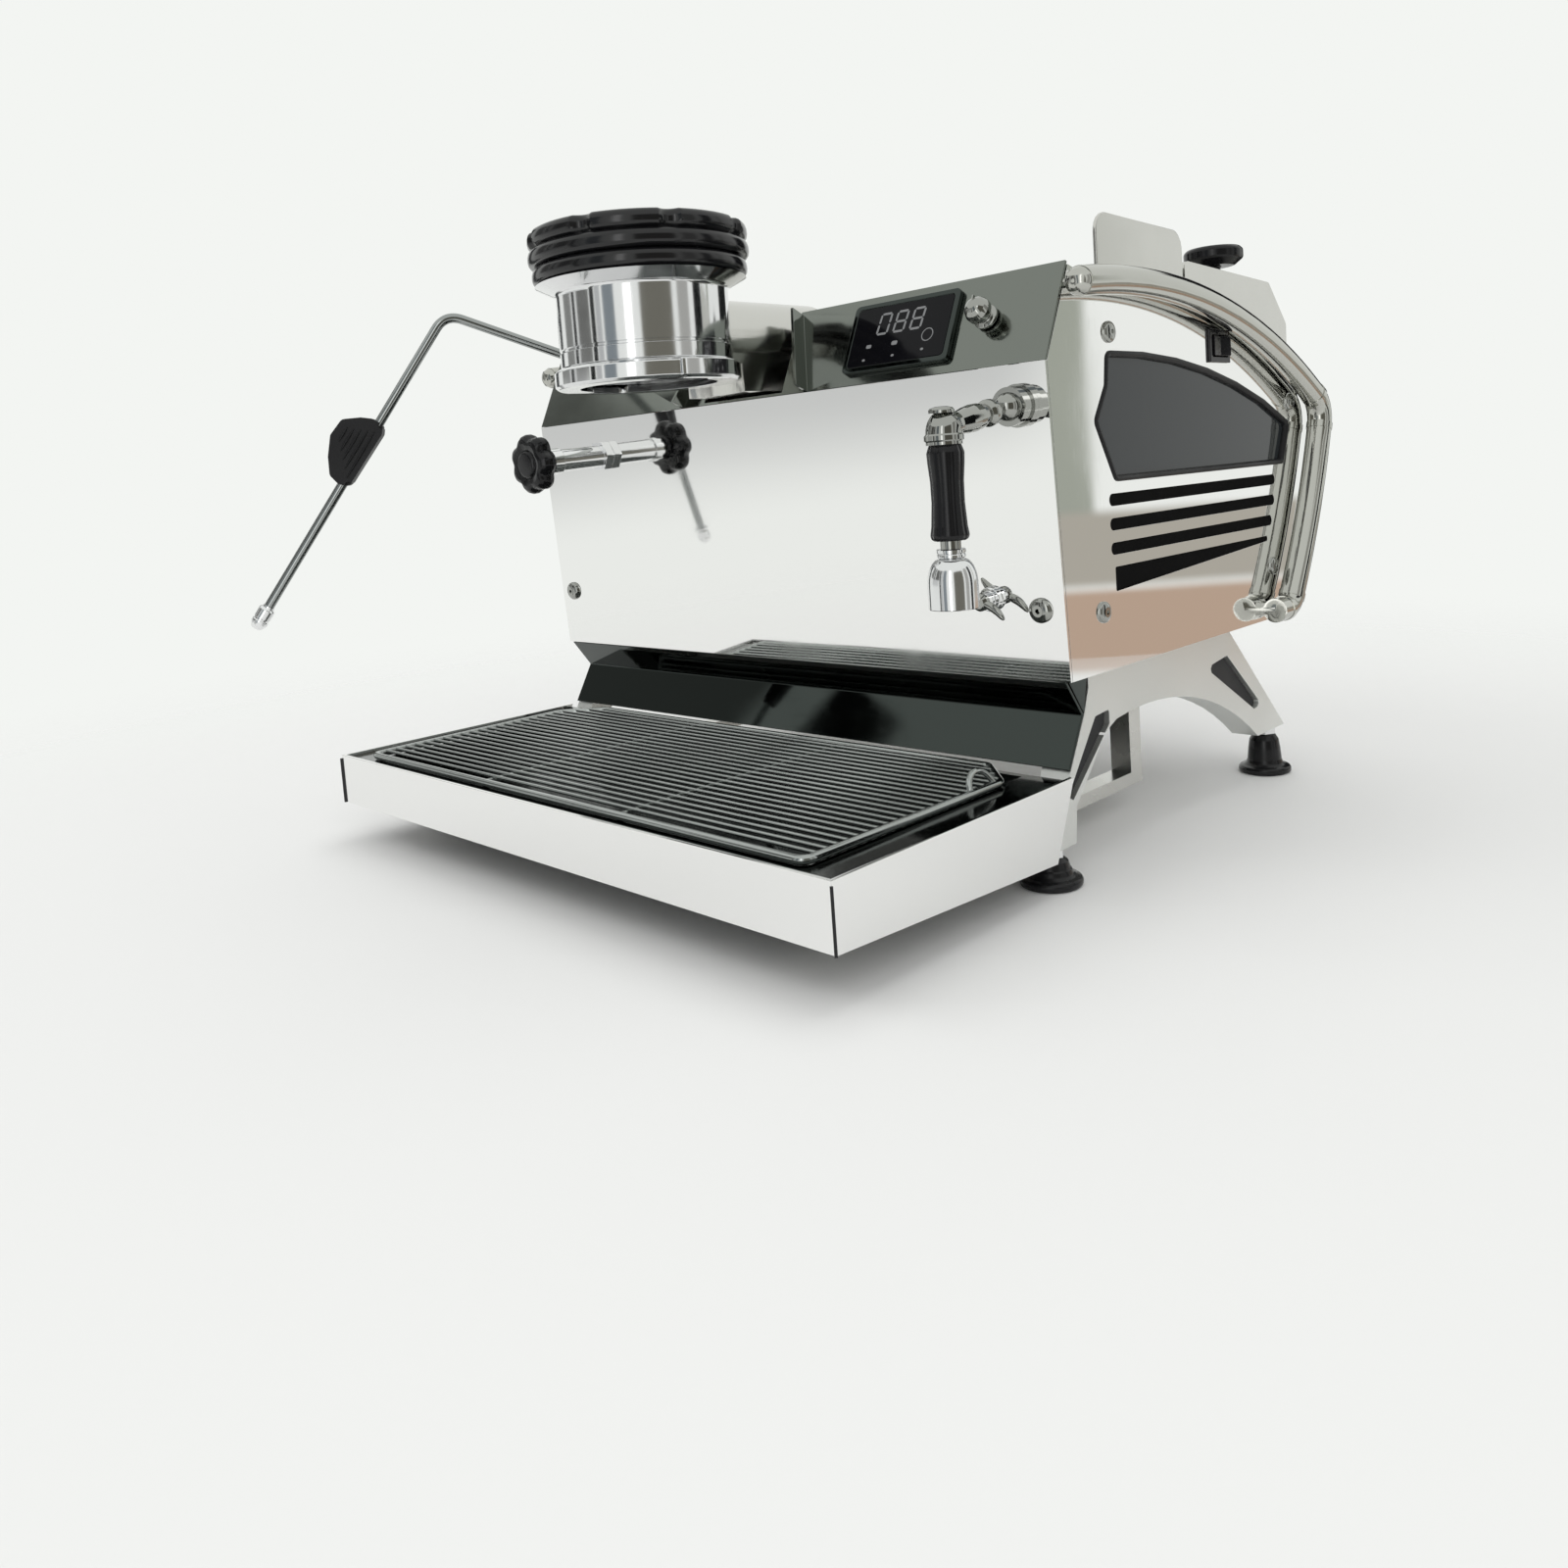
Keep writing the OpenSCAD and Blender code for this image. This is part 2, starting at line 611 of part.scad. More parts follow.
hood_y = rail_end + 2;
hood_end = hood_y + hood_len;
hood_z_end = hood_top - hood_slope / 100 * hood_len;
function hood_outline(g) = rounded([
    [hood_y + g, hood_top - g - 0.001], [hood_end - hood_shoulder, hood_z_end - g],
    [hood_end - g, hood_z_end - hood_shoulder], [hood_end - 2 - g, 100], [hood_y + g, 100]
], 4 - g / 2, 3);
module hood_lid() color(steel) housing() difference() {
    side_extrude(hood_outline(0), -rail_x, 2 * rail_x);
    side_extrude(hood_outline(sheet_t), -rail_x + sheet_t, 2 * (rail_x - sheet_t));
    side_extrude(concat([[0, 0]], arc(crown_c, sheet_r + seam, deck_front_deg, crown_rear_deg - 0.1, 14),
        arc(shoulder_c, shoulder_sheet_r + seam, crown_rear_deg, tail_top_deg, 6), [[hood_end + 50, 0]]),
        -body_w / 2, body_w);
    translate([rail_x - hood_knob_in, hood_knob_y, hood_top - 30]) cylinder(d = hood_stem_d, h = 60);
}
hood_knob_y = hood_y + 78;
hood_stem_d = 8;
hood_knob_z = hood_top - hood_slope / 100 * 78 + 8;
module hood_knob() color(black) housing()
    translate([rail_x - hood_knob_in, hood_knob_y, hood_knob_z]) {
        rotate_extrude() polygon([[0, 0], [hood_knob_d / 2 - 5, 0], [hood_knob_d / 2, 4],
            [hood_knob_d / 2, hood_knob_h - 2], [hood_knob_d / 2 - 2, hood_knob_h], [0, hood_knob_h]]);
        translate([0, 0, -14]) cylinder(d = hood_stem_d - 2 * touch, h = 14);
    }

// Sheet that follows the tail of the tubes down the back
inlet_x = 48 - side_x;
power_x = side_x - 58;
rear_z = 34;
// Frame on the rear panel's face, its Z straight out of the sheet
rear_tilt = asin((tail_c[1] - rear_z) / tail_sheet_r);
module at_rear(x) translate([x, rear_y(rear_z), rear_z]) rotate([-90 - rear_tilt, 0, 0]) children();
vent_rows = 8;
vent_pitch = 7;
module rear_panel() color(steel) housing() difference() {
    side_extrude(concat(
        arc(shoulder_c, shoulder_sheet_r, crown_rear_deg + 1, tail_top_deg, 8),
        arc(tail_c, tail_sheet_r, tail_top_deg, tail_floor_deg - 0.1, 10),
        arc(tail_c, tail_sheet_r - sheet_t, tail_floor_deg - 0.1, tail_top_deg, 10),
        arc(shoulder_c, shoulder_sheet_r - sheet_t, tail_top_deg, crown_rear_deg + 1, 8)),
        -deck_x, 2 * deck_x);
    for (x = [-110, -20], i = [0:vent_rows - 1])
        translate([x, floor_d - 30, 46 + i * vent_pitch]) cube([80, 100, 3]);
    at_rear(inlet_x) translate([0, 0, -10]) cylinder(d = inlet_d - 2, h = 20);
    at_rear(power_x) translate([-14, -11, -10]) cube([28, 22, 20]);
}

pan_x = side_x - seam;
pan_front = side_front + 1;
pan_back = floor_d - 4;
module base_pan() color(dark_steel) housing() difference() {
    translate([-pan_x, pan_front, seam]) cube([2 * pan_x, pan_back - pan_front, floor_flange_h]);
    translate([-pan_x - over, pan_front + floor_t, seam + floor_t])
        cube([2 * pan_x + 2 * over, pan_back - pan_front - 2 * floor_t, floor_flange_h]);
}

// --- legs and feet -----------------------------------------------------------------------
leg_x = body_w / 2 - leg_inset - leg_t;
front_ankle = front_ankle_h - clearance_h;
rear_ankle = rear_ankle_h - clearance_h;
arch_y = 75;
arch_c = [arch_y, -arch_drop - arch_r];
arch_end_deg = acos(1 + (rear_ankle + arch_drop) / arch_r);
splash_gap = splash_t * 1.3 + seam;
leg_outline = concat([
    [20, 0], [20, -6], [fold_back + splash_gap, -fold_drop], splash_end + [splash_gap, 0],
    [front_foot_y - 11, front_ankle], [front_foot_y + 11, front_ankle],
    [front_foot_y + 13, front_ankle + 18], [26, -arch_drop - 15], [33, -arch_drop - 7]],
    arc(arch_c, arch_r, -8, arch_end_deg, 12),
    [[rear_foot_y + 11, rear_ankle], [rear_foot_y - 60, 0]]);
front_recess = rounded([[25, -21], [38, -20], [38, -27], [2, -57], [-2, -54]], 1.4);
rear_recess = rounded([[rear_foot_y - 89, -17], [rear_foot_y - 63, -14], [rear_foot_y - 20, -50],
    [rear_foot_y - 30, -51]], 2.5);
foot_x = body_w / 2 - leg_inset - leg_t / 2;
module leg(s) housing() side(s) difference() {
    side_extrude(leg_outline, leg_x, leg_t);
    for (p = [front_recess, rear_recess])
        side_extrude(p, leg_x + leg_t - recess_depth, recess_depth + over);
    for (p = [[front_foot_y, front_ankle], [rear_foot_y, rear_ankle]])
        translate([foot_x, p[0], p[1] - over]) cylinder(d = stud_d + 2 * touch, h = stud_grip + over + 0.5);
}
module leg_right() color(cast) leg(1);
module leg_left() color(cast) leg(-1);
inlay_t = 1;
module leg_inlays() color(black) housing() for (s = [-1, 1], p = [front_recess, rear_recess])
    side(s) side_extrude(p, leg_x + leg_t - recess_depth, inlay_t);

nut_h = 4;
nut_d = 14;
module each_foot() for (s = [-1, 1], p = [[front_foot_y, front_ankle_h], [rear_foot_y, rear_ankle_h]])
    place() translate([s * foot_x, p[0], 0]) let ($h = p[1]) children();
stud_low = 6;
module foot_pads() color(black) each_foot() difference() {
    rotate_extrude() polygon([[0, 0], [foot_d / 2 - 2, 0], [foot_d / 2, 2], [foot_d / 2 - 0.5, 6],
        [foot_d / 2 - 5, 9], [stud_d / 2 + 2, $h - nut_h - touch], [0, $h - nut_h - touch]]);
    translate([0, 0, stud_low]) cylinder(d = stud_d + 2 * touch, h = $h);
}
module foot_studs() color(chrome) each_foot() {
    translate([0, 0, stud_low + touch]) cylinder(d = stud_d, h = $h + stud_grip - stud_low - touch);
    translate([0, 0, $h - nut_h]) cylinder(d = nut_d, h = nut_h - touch, $fn = 6);
}

// --- drip tray ---------------------------------------------------------------------------
tray_x = body_w / 2 + tray_over;
tray_top = -tray_drop;
tray_rear = splash_end[0] - 2;
skirt_rear_y = tray_rear - 17;
skirt_side = [[-tray_reach, tray_top], [-tray_reach, tray_top - skirt_front_h],
    [skirt_rear_y, tray_top - skirt_rear_h], [tray_rear, tray_top]];
ledge = 8;
ledge_z = tray_top - 3;
tray_slide = 0.3;
module tray_shell() color(steel) housing() {
    difference() {
        side_extrude(skirt_side, -tray_x, 2 * tray_x);
        side_extrude([[-tray_reach + skirt_t, tray_top + over], [-tray_reach + skirt_t, tray_top - 60],
            [60, tray_top - 60], [60, tray_top + over]], -tray_x + skirt_t, 2 * (tray_x - skirt_t));
    }
    // ledge that carries the pan's flange
    difference() {
        translate([-tray_x + skirt_t / 2, -tray_reach + skirt_t / 2, ledge_z - skirt_t])
            cube([2 * tray_x - skirt_t, tray_rear + tray_reach - skirt_t / 2 - 1, skirt_t]);
        translate([-tray_x + skirt_t + ledge, -tray_reach + skirt_t + ledge, ledge_z - skirt_t - over])
            cube([2 * (tray_x - skirt_t - ledge), tray_reach + 60, skirt_t + 2 * over]);
    }
}

pan_t = 1.2;
pan_gap = 0.3;
flange_x = tray_x - skirt_t - pan_gap;
flange_front = -tray_reach + skirt_t + pan_gap;
bowl_x = tray_x - rim_w;
bowl_front = -tray_reach + skirt_t + ledge + pan_t + pan_gap;
bowl_rear = tray_rear - 5;
pan_low = ledge_z - pan_depth;
fold_rise = 5;
bowl_side = [[bowl_front, ledge_z + 10], [bowl_front, pan_low], [bowl_front + fold_y, pan_low + fold_rise],
    [bowl_rear, pan_low - 3], [bowl_rear, ledge_z + 10]];
bowl_outer = [[bowl_front - pan_t, ledge_z + touch], [bowl_front - pan_t, pan_low - pan_t],
    [bowl_front + fold_y, pan_low + fold_rise - pan_t], [bowl_rear + pan_t, pan_low - 3 - pan_t],
    [bowl_rear + pan_t, ledge_z + touch]];
module tray_pan() color(dark_steel) housing() difference() {
    union() {
        translate([-flange_x, flange_front, ledge_z + touch])
            cube([2 * flange_x, tray_rear - flange_front - 1, pan_t]);
        side_extrude(bowl_outer, -bowl_x - pan_t, 2 * (bowl_x + pan_t));
    }
    side_extrude(bowl_side, -bowl_x, 2 * bowl_x);
}

grate_x = bowl_x + 3;
grate_front = bowl_front - border_d / 2;
grate_rear = bowl_rear + border_d / 2 - 1;
grate_z = ledge_z + touch + pan_t + seam + border_d / 2;
grate_chamfer = 22;
wire_count = floor((grate_rear - grate_front - border_d) / wire_pitch);
wire_first = grate_front + (grate_rear - grate_front - (wire_count - 1) * wire_pitch) / 2;
cross_x = 58;
loop_r = 9;
module rod(a, b, d) {
    v = b - a;
    translate(a) rotate([0, acos(v[2] / norm(v)), atan2(v[1], v[0])]) cylinder(d = d, h = norm(v));
}
border = [[-grate_x, grate_front], [grate_x, grate_front], [grate_x, grate_rear - grate_chamfer],
    [grate_x - grate_chamfer, grate_rear], [-grate_x + grate_chamfer, grate_rear],
    [-grate_x, grate_rear - grate_chamfer]];
module tray_grate() color(chrome) housing() translate([0, 0, grate_z]) {
    for (i = [0:len(border) - 1]) {
        a = border[i];
        b = border[(i + 1) % len(border)];
        rod([a[0], a[1], 0], [b[0], b[1], 0], border_d);
        translate([a[0], a[1], 0]) sphere(d = border_d);
    }
    for (i = [0:wire_count - 1]) {
        y = wire_first + i * wire_pitch;
        half = grate_x - max(0, y - (grate_rear - grate_chamfer));
        translate([-half, y, (border_d - wire_d) / 2]) along_x(wire_d, 2 * half);
    }
    for (x = [-cross_x, cross_x])
        translate([x, grate_front, -(border_d - wire_d) / 2]) rotate([-90, 0, 0])
            cylinder(d = wire_d, h = grate_rear - grate_front);
    // finger loop at the rear right
    translate([grate_x, grate_rear - grate_chamfer - 14, 0]) rotate([90, 0, 90]) rotate([-25, 0, 0])
        rotate_extrude(angle = 180) translate([loop_r, 0]) circle(d = 3);
}

// Arms under the tray that carry it out from the legs
rail_bar_x = leg_x - 25;
rail_bar_w = 12;
rail_bar_back = 120;
hanger_len = 12;
rail_bar_low = tray_top - 34.5;
rail_bar_top = pan_low - 3 - pan_t - tray_slide;
module tray_rails() color(dark_steel) housing() both() {
    translate([rail_bar_x, -tray_reach + 16, rail_bar_low])
        cube([rail_bar_w, tray_reach - 16 + rail_bar_back, rail_bar_top - rail_bar_low]);
    translate([rail_bar_x, front_foot_y - 5, rail_bar_low])
        cube([leg_x - touch - rail_bar_x, 9, rail_bar_top - rail_bar_low]);
    // hanger up to the floor pan
    translate([rail_bar_x, rail_bar_back - hanger_len, rail_bar_low])
        cube([rail_bar_w, hanger_len, -rail_bar_low + seam - touch]);
}

// --- group -------------------------------------------------------------------------------
module group() housing() translate([0, -group_reach, group_low]) children();
ear_d = bayonet_d + 5;
ear_deg = 40;
bore_h = 4;
groove_h = 4;
groove_d = bayonet_bore + 10;
cap_d = ring_d - 15;
cone_d = ring_d - 5;
barrel_top = bayonet_h + barrel_h;
ring_z = barrel_top + cone_h + seam;
module sector(from, to, angle, h) for (a = [0, 180]) rotate(a - angle / 2) rotate_extrude(angle = angle)
    translate([from, 0]) square([to - from, h]);
module bayonet_ring() color(chrome) group() difference() {
    union() {
        rotate_extrude() polygon([[bayonet_bore / 2, 0], [bayonet_d / 2 - 1.5, 0], [bayonet_d / 2, 1.5],
            [bayonet_d / 2, bayonet_h - 1.5], [bayonet_d / 2 - 1.5, bayonet_h - touch],
            [bayonet_bore / 2, bayonet_h - touch]]);
        translate([0, 0, 1]) sector(bayonet_d / 2 - 4, ear_d / 2, ear_deg, bayonet_h - 2);
    }
    translate([0, 0, bore_h]) cylinder(d = groove_d, h = groove_h);
    translate([0, 0, -over])
        sector(bayonet_bore / 2 - 3, groove_d / 2 - 0.4, lug_gap_deg, bore_h + 2 * over);
}
gasket_d = bayonet_bore - 1;
gasket_in = 58;
seal_h = 3;
module group_gasket() color(black) group() translate([0, 0, bayonet_h - seal_h]) difference() {
    cylinder(d = gasket_d, h = seal_h - touch);
    translate([0, 0, -over]) cylinder(d = gasket_in, h = seal_h + 2 * over);
}
screen_holes = [[0, 1], [7, 6], [14, 12], [21, 18]];
module shower_screen() color(chrome) group() translate([0, 0, bayonet_h - seal_h + 1]) difference() {
    cylinder(d = gasket_in - 2 * touch, h = seal_h - 1 - touch);
    for (ring = screen_holes, k = [0:ring[1] - 1]) rotate(k * 360 / ring[1])
        translate([ring[0], 0, -over]) cylinder(d = 2.2, h = seal_h + 2 * over, $fn = 16);
}
module group_body() color(chrome) group() translate([0, 0, bayonet_h]) rotate_extrude() polygon([
    [0, 0], [group_d / 2 - 1, 0], [group_d / 2, 1], [group_d / 2, 8], [group_d / 2 - 0.6, 8.5],
    [group_d / 2 - 0.6, 9.5], [group_d / 2, 10], [group_d / 2, barrel_h], [cone_d / 2, barrel_h + cone_h],
    [cap_d / 2, barrel_h + cone_h], [cap_d / 2, barrel_h + cone_h + ring_h - 3],
    [cap_d / 2 - 3, barrel_h + cone_h + ring_h - 2], [0, barrel_h + cone_h + ring_h - 2]
]);
// The turned brew ring: ribbed rim with finger notches in its top edge
rib = ring_h / ring_ribs;
rib_depth = 2.5;
// One rib from bottom to top: (set-back from the rim, share of the rib's height)
rib_shape = [[-rib_depth, 0], [-1, 0.12], [0, 0.35], [0, 0.7], [-1, 0.9], [-rib_depth, 1]];
low_rib_in = 1.5;
module brew_ring() color(black) group() translate([0, 0, ring_z]) difference() {
    rotate_extrude() polygon(concat(
        [[cap_d / 2 + run_clear, ring_h], [cap_d / 2 + run_clear, 0]],
        [for (i = [0:ring_ribs - 1], p = rib_shape)
            [ring_d / 2 + p[0] - (i == 0 ? low_rib_in : 0), (i + p[1] * 0.98) * rib]]));
    for (k = [0:ring_notches - 1]) rotate((k + 0.5) * 360 / ring_notches)
        translate([ring_d / 2 + 2, 0, ring_h - rib * 0.8]) cylinder(d = 10, h = rib, $fn = 24);
}
neck_axis = 20;
module group_neck() color(chrome) difference() {
    group() {
        length = group_reach + deck_notch_end - 4;
        difference() {
            union() {
                translate([0, 0, neck_axis]) rotate([-90, 0, 0]) cylinder(d = neck_d, h = length);
                translate([-neck_w / 2, 0, -5]) cube([neck_w, length, neck_axis + 5]);
            }
            // the round cover ends just under its axis, over the square body
            both() translate([neck_w / 2, -over, -30]) cube([20, length + 2 * over, neck_axis + 26]);
            translate([-30, -over, -30]) cube([60, length + 2 * over, 25]);
            cylinder(d = group_d + 2 * touch, h = 80);
            translate([0, 0, -30]) cylinder(d = ear_d + 2, h = bayonet_h + 30 + touch);
        }
    }
    housing() brew_boiler_room(touch);
}

// --- steam valve and wand ------------------------------------------------------------------
module at_valve() on_front() translate([-valve_x, 0, valve_h]) children();
nut_across = 20;
stem_in = 20;
knob_gap = 3;
valve_block = 24;
valve_block_depth = 16;
module steam_valve() color(chrome) at_valve() difference() {
    union() {
        out(valve_d - 2 * touch, -sheet_t - 12, valve_len + sheet_t + 12);
        translate([0, -touch, 0]) rotate([90, 0, 0]) cylinder(d = nut_across, h = 6, $fn = 6);
        out(valve_d + 2, valve_len - 7, 7);
        translate([-valve_block / 2, sheet_t + touch, -valve_block / 2])
            cube([valve_block, valve_block_depth, valve_block]);
    }
    out(stem_d + 2 * run_clear, valve_len - stem_in, stem_in + over);
}
module steam_stem() color(brass) at_valve()
    out(stem_d, valve_len - stem_in + 1, stem_in - 1 + knob_gap);
knob_round = 2;
knob_at = valve_len + knob_gap + touch;
module steam_knob() color(black) at_valve() translate([0, -knob_at, 0]) rotate([90, 0, 0]) difference() {
    rotate_extrude() polygon([[0, 0], [knob_d / 2 - knob_round, 0], [knob_d / 2, knob_round],
        [knob_d / 2, knob_h - 4], [knob_d / 2 - 4, knob_h - 1], [0, knob_h]]);
    for (k = [0:knob_lobes - 1]) rotate((k + 0.5) * 360 / knob_lobes)
        translate([knob_d / 2 + 2.2, 0, -over]) cylinder(d = 9, h = knob_h + 2 * over, $fn = 24);
}

module at_wand() on_control() translate([-wand_x, 0, wand_h]) children();
socket_h = 5;
swivel_d = 21;
module ball_seat() rotate([90, 0, 0]) translate([0, 0, ball_out]) sphere(r = ball_r + run_clear);
module wand_socket() color(chrome) at_wand() difference() {
    union() {
        out(22, touch, socket_h);
        out(wand_hole_d - 2 * touch, -sheet_t - 7, sheet_t + 7 + 2 * touch);
    }
    ball_seat();
}
swivel_len = ball_out + 3 - socket_h - seam;
module wand_swivel() color(chrome) at_wand() difference() {
    rotate([90, 0, 0]) translate([0, 0, socket_h + touch + seam]) rotate_extrude() polygon([[0, 0],
        [swivel_d / 2, 0], [swivel_d / 2, swivel_len - 2], [swivel_d / 2 - 2, swivel_len], [0, swivel_len]]);
    ball_seat();
}
module from_root() place() translate(wand_root) children();
// Bent wand: ball, straight, bend and straight, with the bend as a tangent arc
wand_in = unit(wand_bend_at);
bend_turn = acos(wand_in * wand_lean);
bend_cut = wand_bend * tan(bend_turn / 2);
bend_swell = 0.3;
bend_lap = 1;
module wand_arc() {
    normal = unit(cross(wand_in, wand_lean));
    centre = wand_bend_at - bend_cut * wand_in + wand_bend * cross(normal, wand_in);
    x_dir = -cross(normal, wand_in);
    multmatrix([
        [x_dir[0], wand_in[0], normal[0], centre[0]],
        [x_dir[1], wand_in[1], normal[1], centre[1]],
        [x_dir[2], wand_in[2], normal[2], centre[2]],
        [0, 0, 0, 1]]) rotate_extrude(angle = bend_turn) translate([wand_bend, 0])
            circle(d = wand_d + bend_swell);
}
tip_len = 16;
wand_len = norm(wand_tip_at - wand_bend_at);
module steam_wand() color(chrome) from_root() {
    sphere(r = ball_r);
    rod(2 * wand_in, wand_bend_at - (bend_cut - bend_lap) * wand_in, wand_d);
    wand_arc();
    rod(wand_bend_at + (bend_cut - bend_lap) * wand_lean, wand_tip_at - tip_len * wand_lean, wand_d);
}
module along_wand(at) from_root() translate(wand_bend_at + at * wand_lean)
    rotate([0, acos(wand_lean[2]), atan2(wand_lean[1], wand_lean[0])]) children();
grip_at = wand_len * 0.445 - grip_len / 2;
module wand_grip() color(black) along_wand(grip_at) difference() {
    union() {
        cylinder(d = wand_d + 5, h = grip_len);
        // finger fin on the outer side
        rotate([90, 0, 0]) translate([0, 0, -3.5]) linear_extrude(7) polygon(rounded([
            [3, 2], [16, 8], [20, 20], [18, 30], [8, grip_len - 2], [-3, grip_len - 1], [-6, 8]], 2.5, 4));
    }
    translate([0, 0, -over]) cylinder(d = wand_d + 2 * touch, h = grip_len + 2 * over);
}
module wand_tip() color(chrome) along_wand(wand_len - tip_len) difference() {
    rotate_extrude() polygon([[0, touch], [wand_d / 2 + 0.5, touch], [wand_tip_r, 4],
        [wand_tip_r, tip_len - 3], [wand_tip_r - 2, tip_len], [0, tip_len]]);
    for (k = [0:3]) rotate(k * 90) translate([2.4, 0, tip_len]) rotate([0, 20, 0]) translate([0, 0, -3])
        cylinder(d = 1.4, h = 6, $fn = 16);
}

// --- hot-water spout -------------------------------------------------------------------------
spout_tail_d = 12;
spout_ball_out = 10.5;
spout_ball_r = 6.5;
module at_spout() on_front() translate([spout_x, 0, spout_h]) children();
module spout_socket() color(chrome) at_spout() difference() {
    union() {
        out(20, touch, 3);
        out(18, touch, spout_ball_out - 0.5);
        out(spout_tail_d - 2 * touch, -sheet_t - 6, sheet_t + 6 + 2 * touch);
    }
    translate([0, -spout_ball_out, 0]) sphere(r = spout_ball_r + run_clear);
}
// Frame at the spout's ball, upright
spout_ball = [spout_x, -front_lean / front_len * spout_h - spout_ball_out * front_h / front_len,
    front_h / front_len * spout_h - spout_ball_out * front_lean / front_len];
module from_spout() housing() translate(spout_ball) children();
elbow = [0, -spout_reach, -spout_drop];
elbow_r = 8;
throat_d = 6;
down_len = 52;
elbow_in = 5;
module spout_arm() color(chrome) from_spout() {
    arm = norm(elbow);
    lead = unit(elbow);
    sphere(r = spout_ball_r);
    rod(2 * lead, arm * 0.32 * lead, throat_d);
    rod(arm * 0.3 * lead, arm * 0.45 * lead, spout_d + 3);
    rod(arm * 0.44 * lead, (arm - elbow_in) * lead, spout_d);
    translate(elbow) sphere(r = elbow_r);
    translate(elbow - [0, 0, down_len]) cylinder(d = spout_d, h = down_len - elbow_in);
}
sleeve_top = elbow_r - 2.5;
module under_elbow(d) from_spout() translate(elbow - [0, 0, d]) children();
module spout_sleeve() color(black) under_elbow(sleeve_top + sleeve_len) difference() {
    rotate_extrude() polygon([[spout_d / 2 + touch, 0], [sleeve_d / 2 - 1, 0], [sleeve_d / 2, 2],
        [sleeve_d / 2 - 0.5, sleeve_len / 2], [sleeve_d / 2, sleeve_len - 6], [sleeve_d / 2 - 3, sleeve_len],
        [spout_d / 2 + touch, sleeve_len]]);
    translate([0, 0, sleeve_top + sleeve_len]) sphere(r = elbow_r + touch);
}
bell_wall = 1.2;
module spout_bell() color(chrome) under_elbow(down_len + touch) rotate_extrude() polygon([
    [0, 0], [spout_d / 2 + 1, 0], [spout_d / 2 + 2, -2], [bell_d / 2 - 3, -5], [bell_d / 2 - 0.5, -10],
    [bell_d / 2, -15], [bell_d / 2, -bell_h], [bell_d / 2 - bell_wall, -bell_h],
    [bell_d / 2 - bell_wall, -15], [bell_d / 2 - bell_wall - 1, -10], [bell_d / 2 - 4, -7], [0, -5]
]);

module at_cock() on_front() translate([cock_x, 0, cock_h]) children();
cock_tail_d = 6;
cock_out = 8;
cock_pin_d = 4;
module bleed_cock() color(chrome) at_cock() difference() {
    union() {
        out(12, touch, 3);
        out(8, touch, cock_out);
        out(cock_tail_d - 2 * touch, -sheet_t - 5, sheet_t + 5 + 2 * touch);
    }
    out(cock_pin_d + 2 * run_clear, cock_out - 6, 6 + over);
}
module bleed_lever() color(chrome) at_cock() {
    out(cock_pin_d, cock_out - 5.5, 8);
    out(8, cock_out + seam, 4);
    rotate([0, 32, 0]) translate([-15, -cock_out - seam - 4, -2]) cube([30, 3, 4]);
}

// --- controls --------------------------------------------------------------------------------
display_z = control_len / 2;
module at_display() on_control() translate([display_x, -touch, display_z]) children();
glass_t = 2;
module display_frame() color(dark_steel) at_display() difference() {
    rotate([90, 0, 0]) linear_extrude(display_t) polygon(rounded([
        [-display_w / 2, -display_h / 2], [display_w / 2, -display_h / 2],
        [display_w / 2, display_h / 2], [-display_w / 2, display_h / 2]], 3));
    translate([0, -display_t + glass_t, 0]) rotate([90, 0, 0]) linear_extrude(glass_t + over)
        polygon(glass_outline(touch));
}
function glass_outline(g) = let (w = display_w / 2 - display_rim + g, h = display_h / 2 - display_rim + g)
    rounded([[-w, -h], [w, -h], [w, h], [-w, h]], 2);
module display_glass() color("#050505") at_display() translate([0, -display_t + glass_t - touch, 0])
    rotate([90, 0, 0]) linear_extrude(glass_t) polygon(glass_outline(0));

module selector_knob() color(chrome) on_control() translate([selector_x, 0, selector_h]) {
    out(selector_shaft_d, -sheet_t - 6, sheet_t + 10);
    rotate([90, 0, 0]) translate([0, 0, 1]) rotate_extrude() polygon([
        [0, 0], [selector_d / 2 - 2, 0], [selector_d / 2 - 2, 3], [selector_d / 2, 4],
        [selector_d / 2, 10], [selector_d / 2 - 2.5, 13], [0, 14]]);
}

bezel_rim = 1.6;
bezel_lip = 1.5;
bezel_depth = 9;
module at_rocker() housing() translate([body_w / 2, rocker_y, rocker_z]) children();
module rocker_bezel() color(black) at_rocker() difference() {
    union() {
        translate([-bezel_depth, -rocker_len / 2 + touch, -rocker_h / 2 + touch])
            cube([bezel_depth + 0.5, rocker_len - 2 * touch, rocker_h - 2 * touch]);
        translate([touch, -rocker_len / 2 - bezel_lip, -rocker_h / 2 - bezel_lip])
            cube([bezel_lip, rocker_len + 2 * bezel_lip, rocker_h + 2 * bezel_lip]);
    }
    translate([-bezel_depth + 1, -rocker_len / 2 + bezel_rim, -rocker_h / 2 + bezel_rim])
        cube([bezel_depth + 2, rocker_len - 2 * bezel_rim, rocker_h - 2 * bezel_rim]);
}
rocker_gap = 0.5;
module rocker() color(black) at_rocker() {
    half = rocker_len / 2 - bezel_rim - rocker_gap;
    rotate([0, 0, -rocker_tip / 2]) translate([0, 0, -rocker_h / 2 + bezel_rim + rocker_gap])
        linear_extrude(rocker_h - 2 * bezel_rim - 2 * rocker_gap)
            polygon([[-2.5, -half], [3.3, -half], [1.9, 0], [3.3, half], [-2.5, half], [-5, 0]]);
}

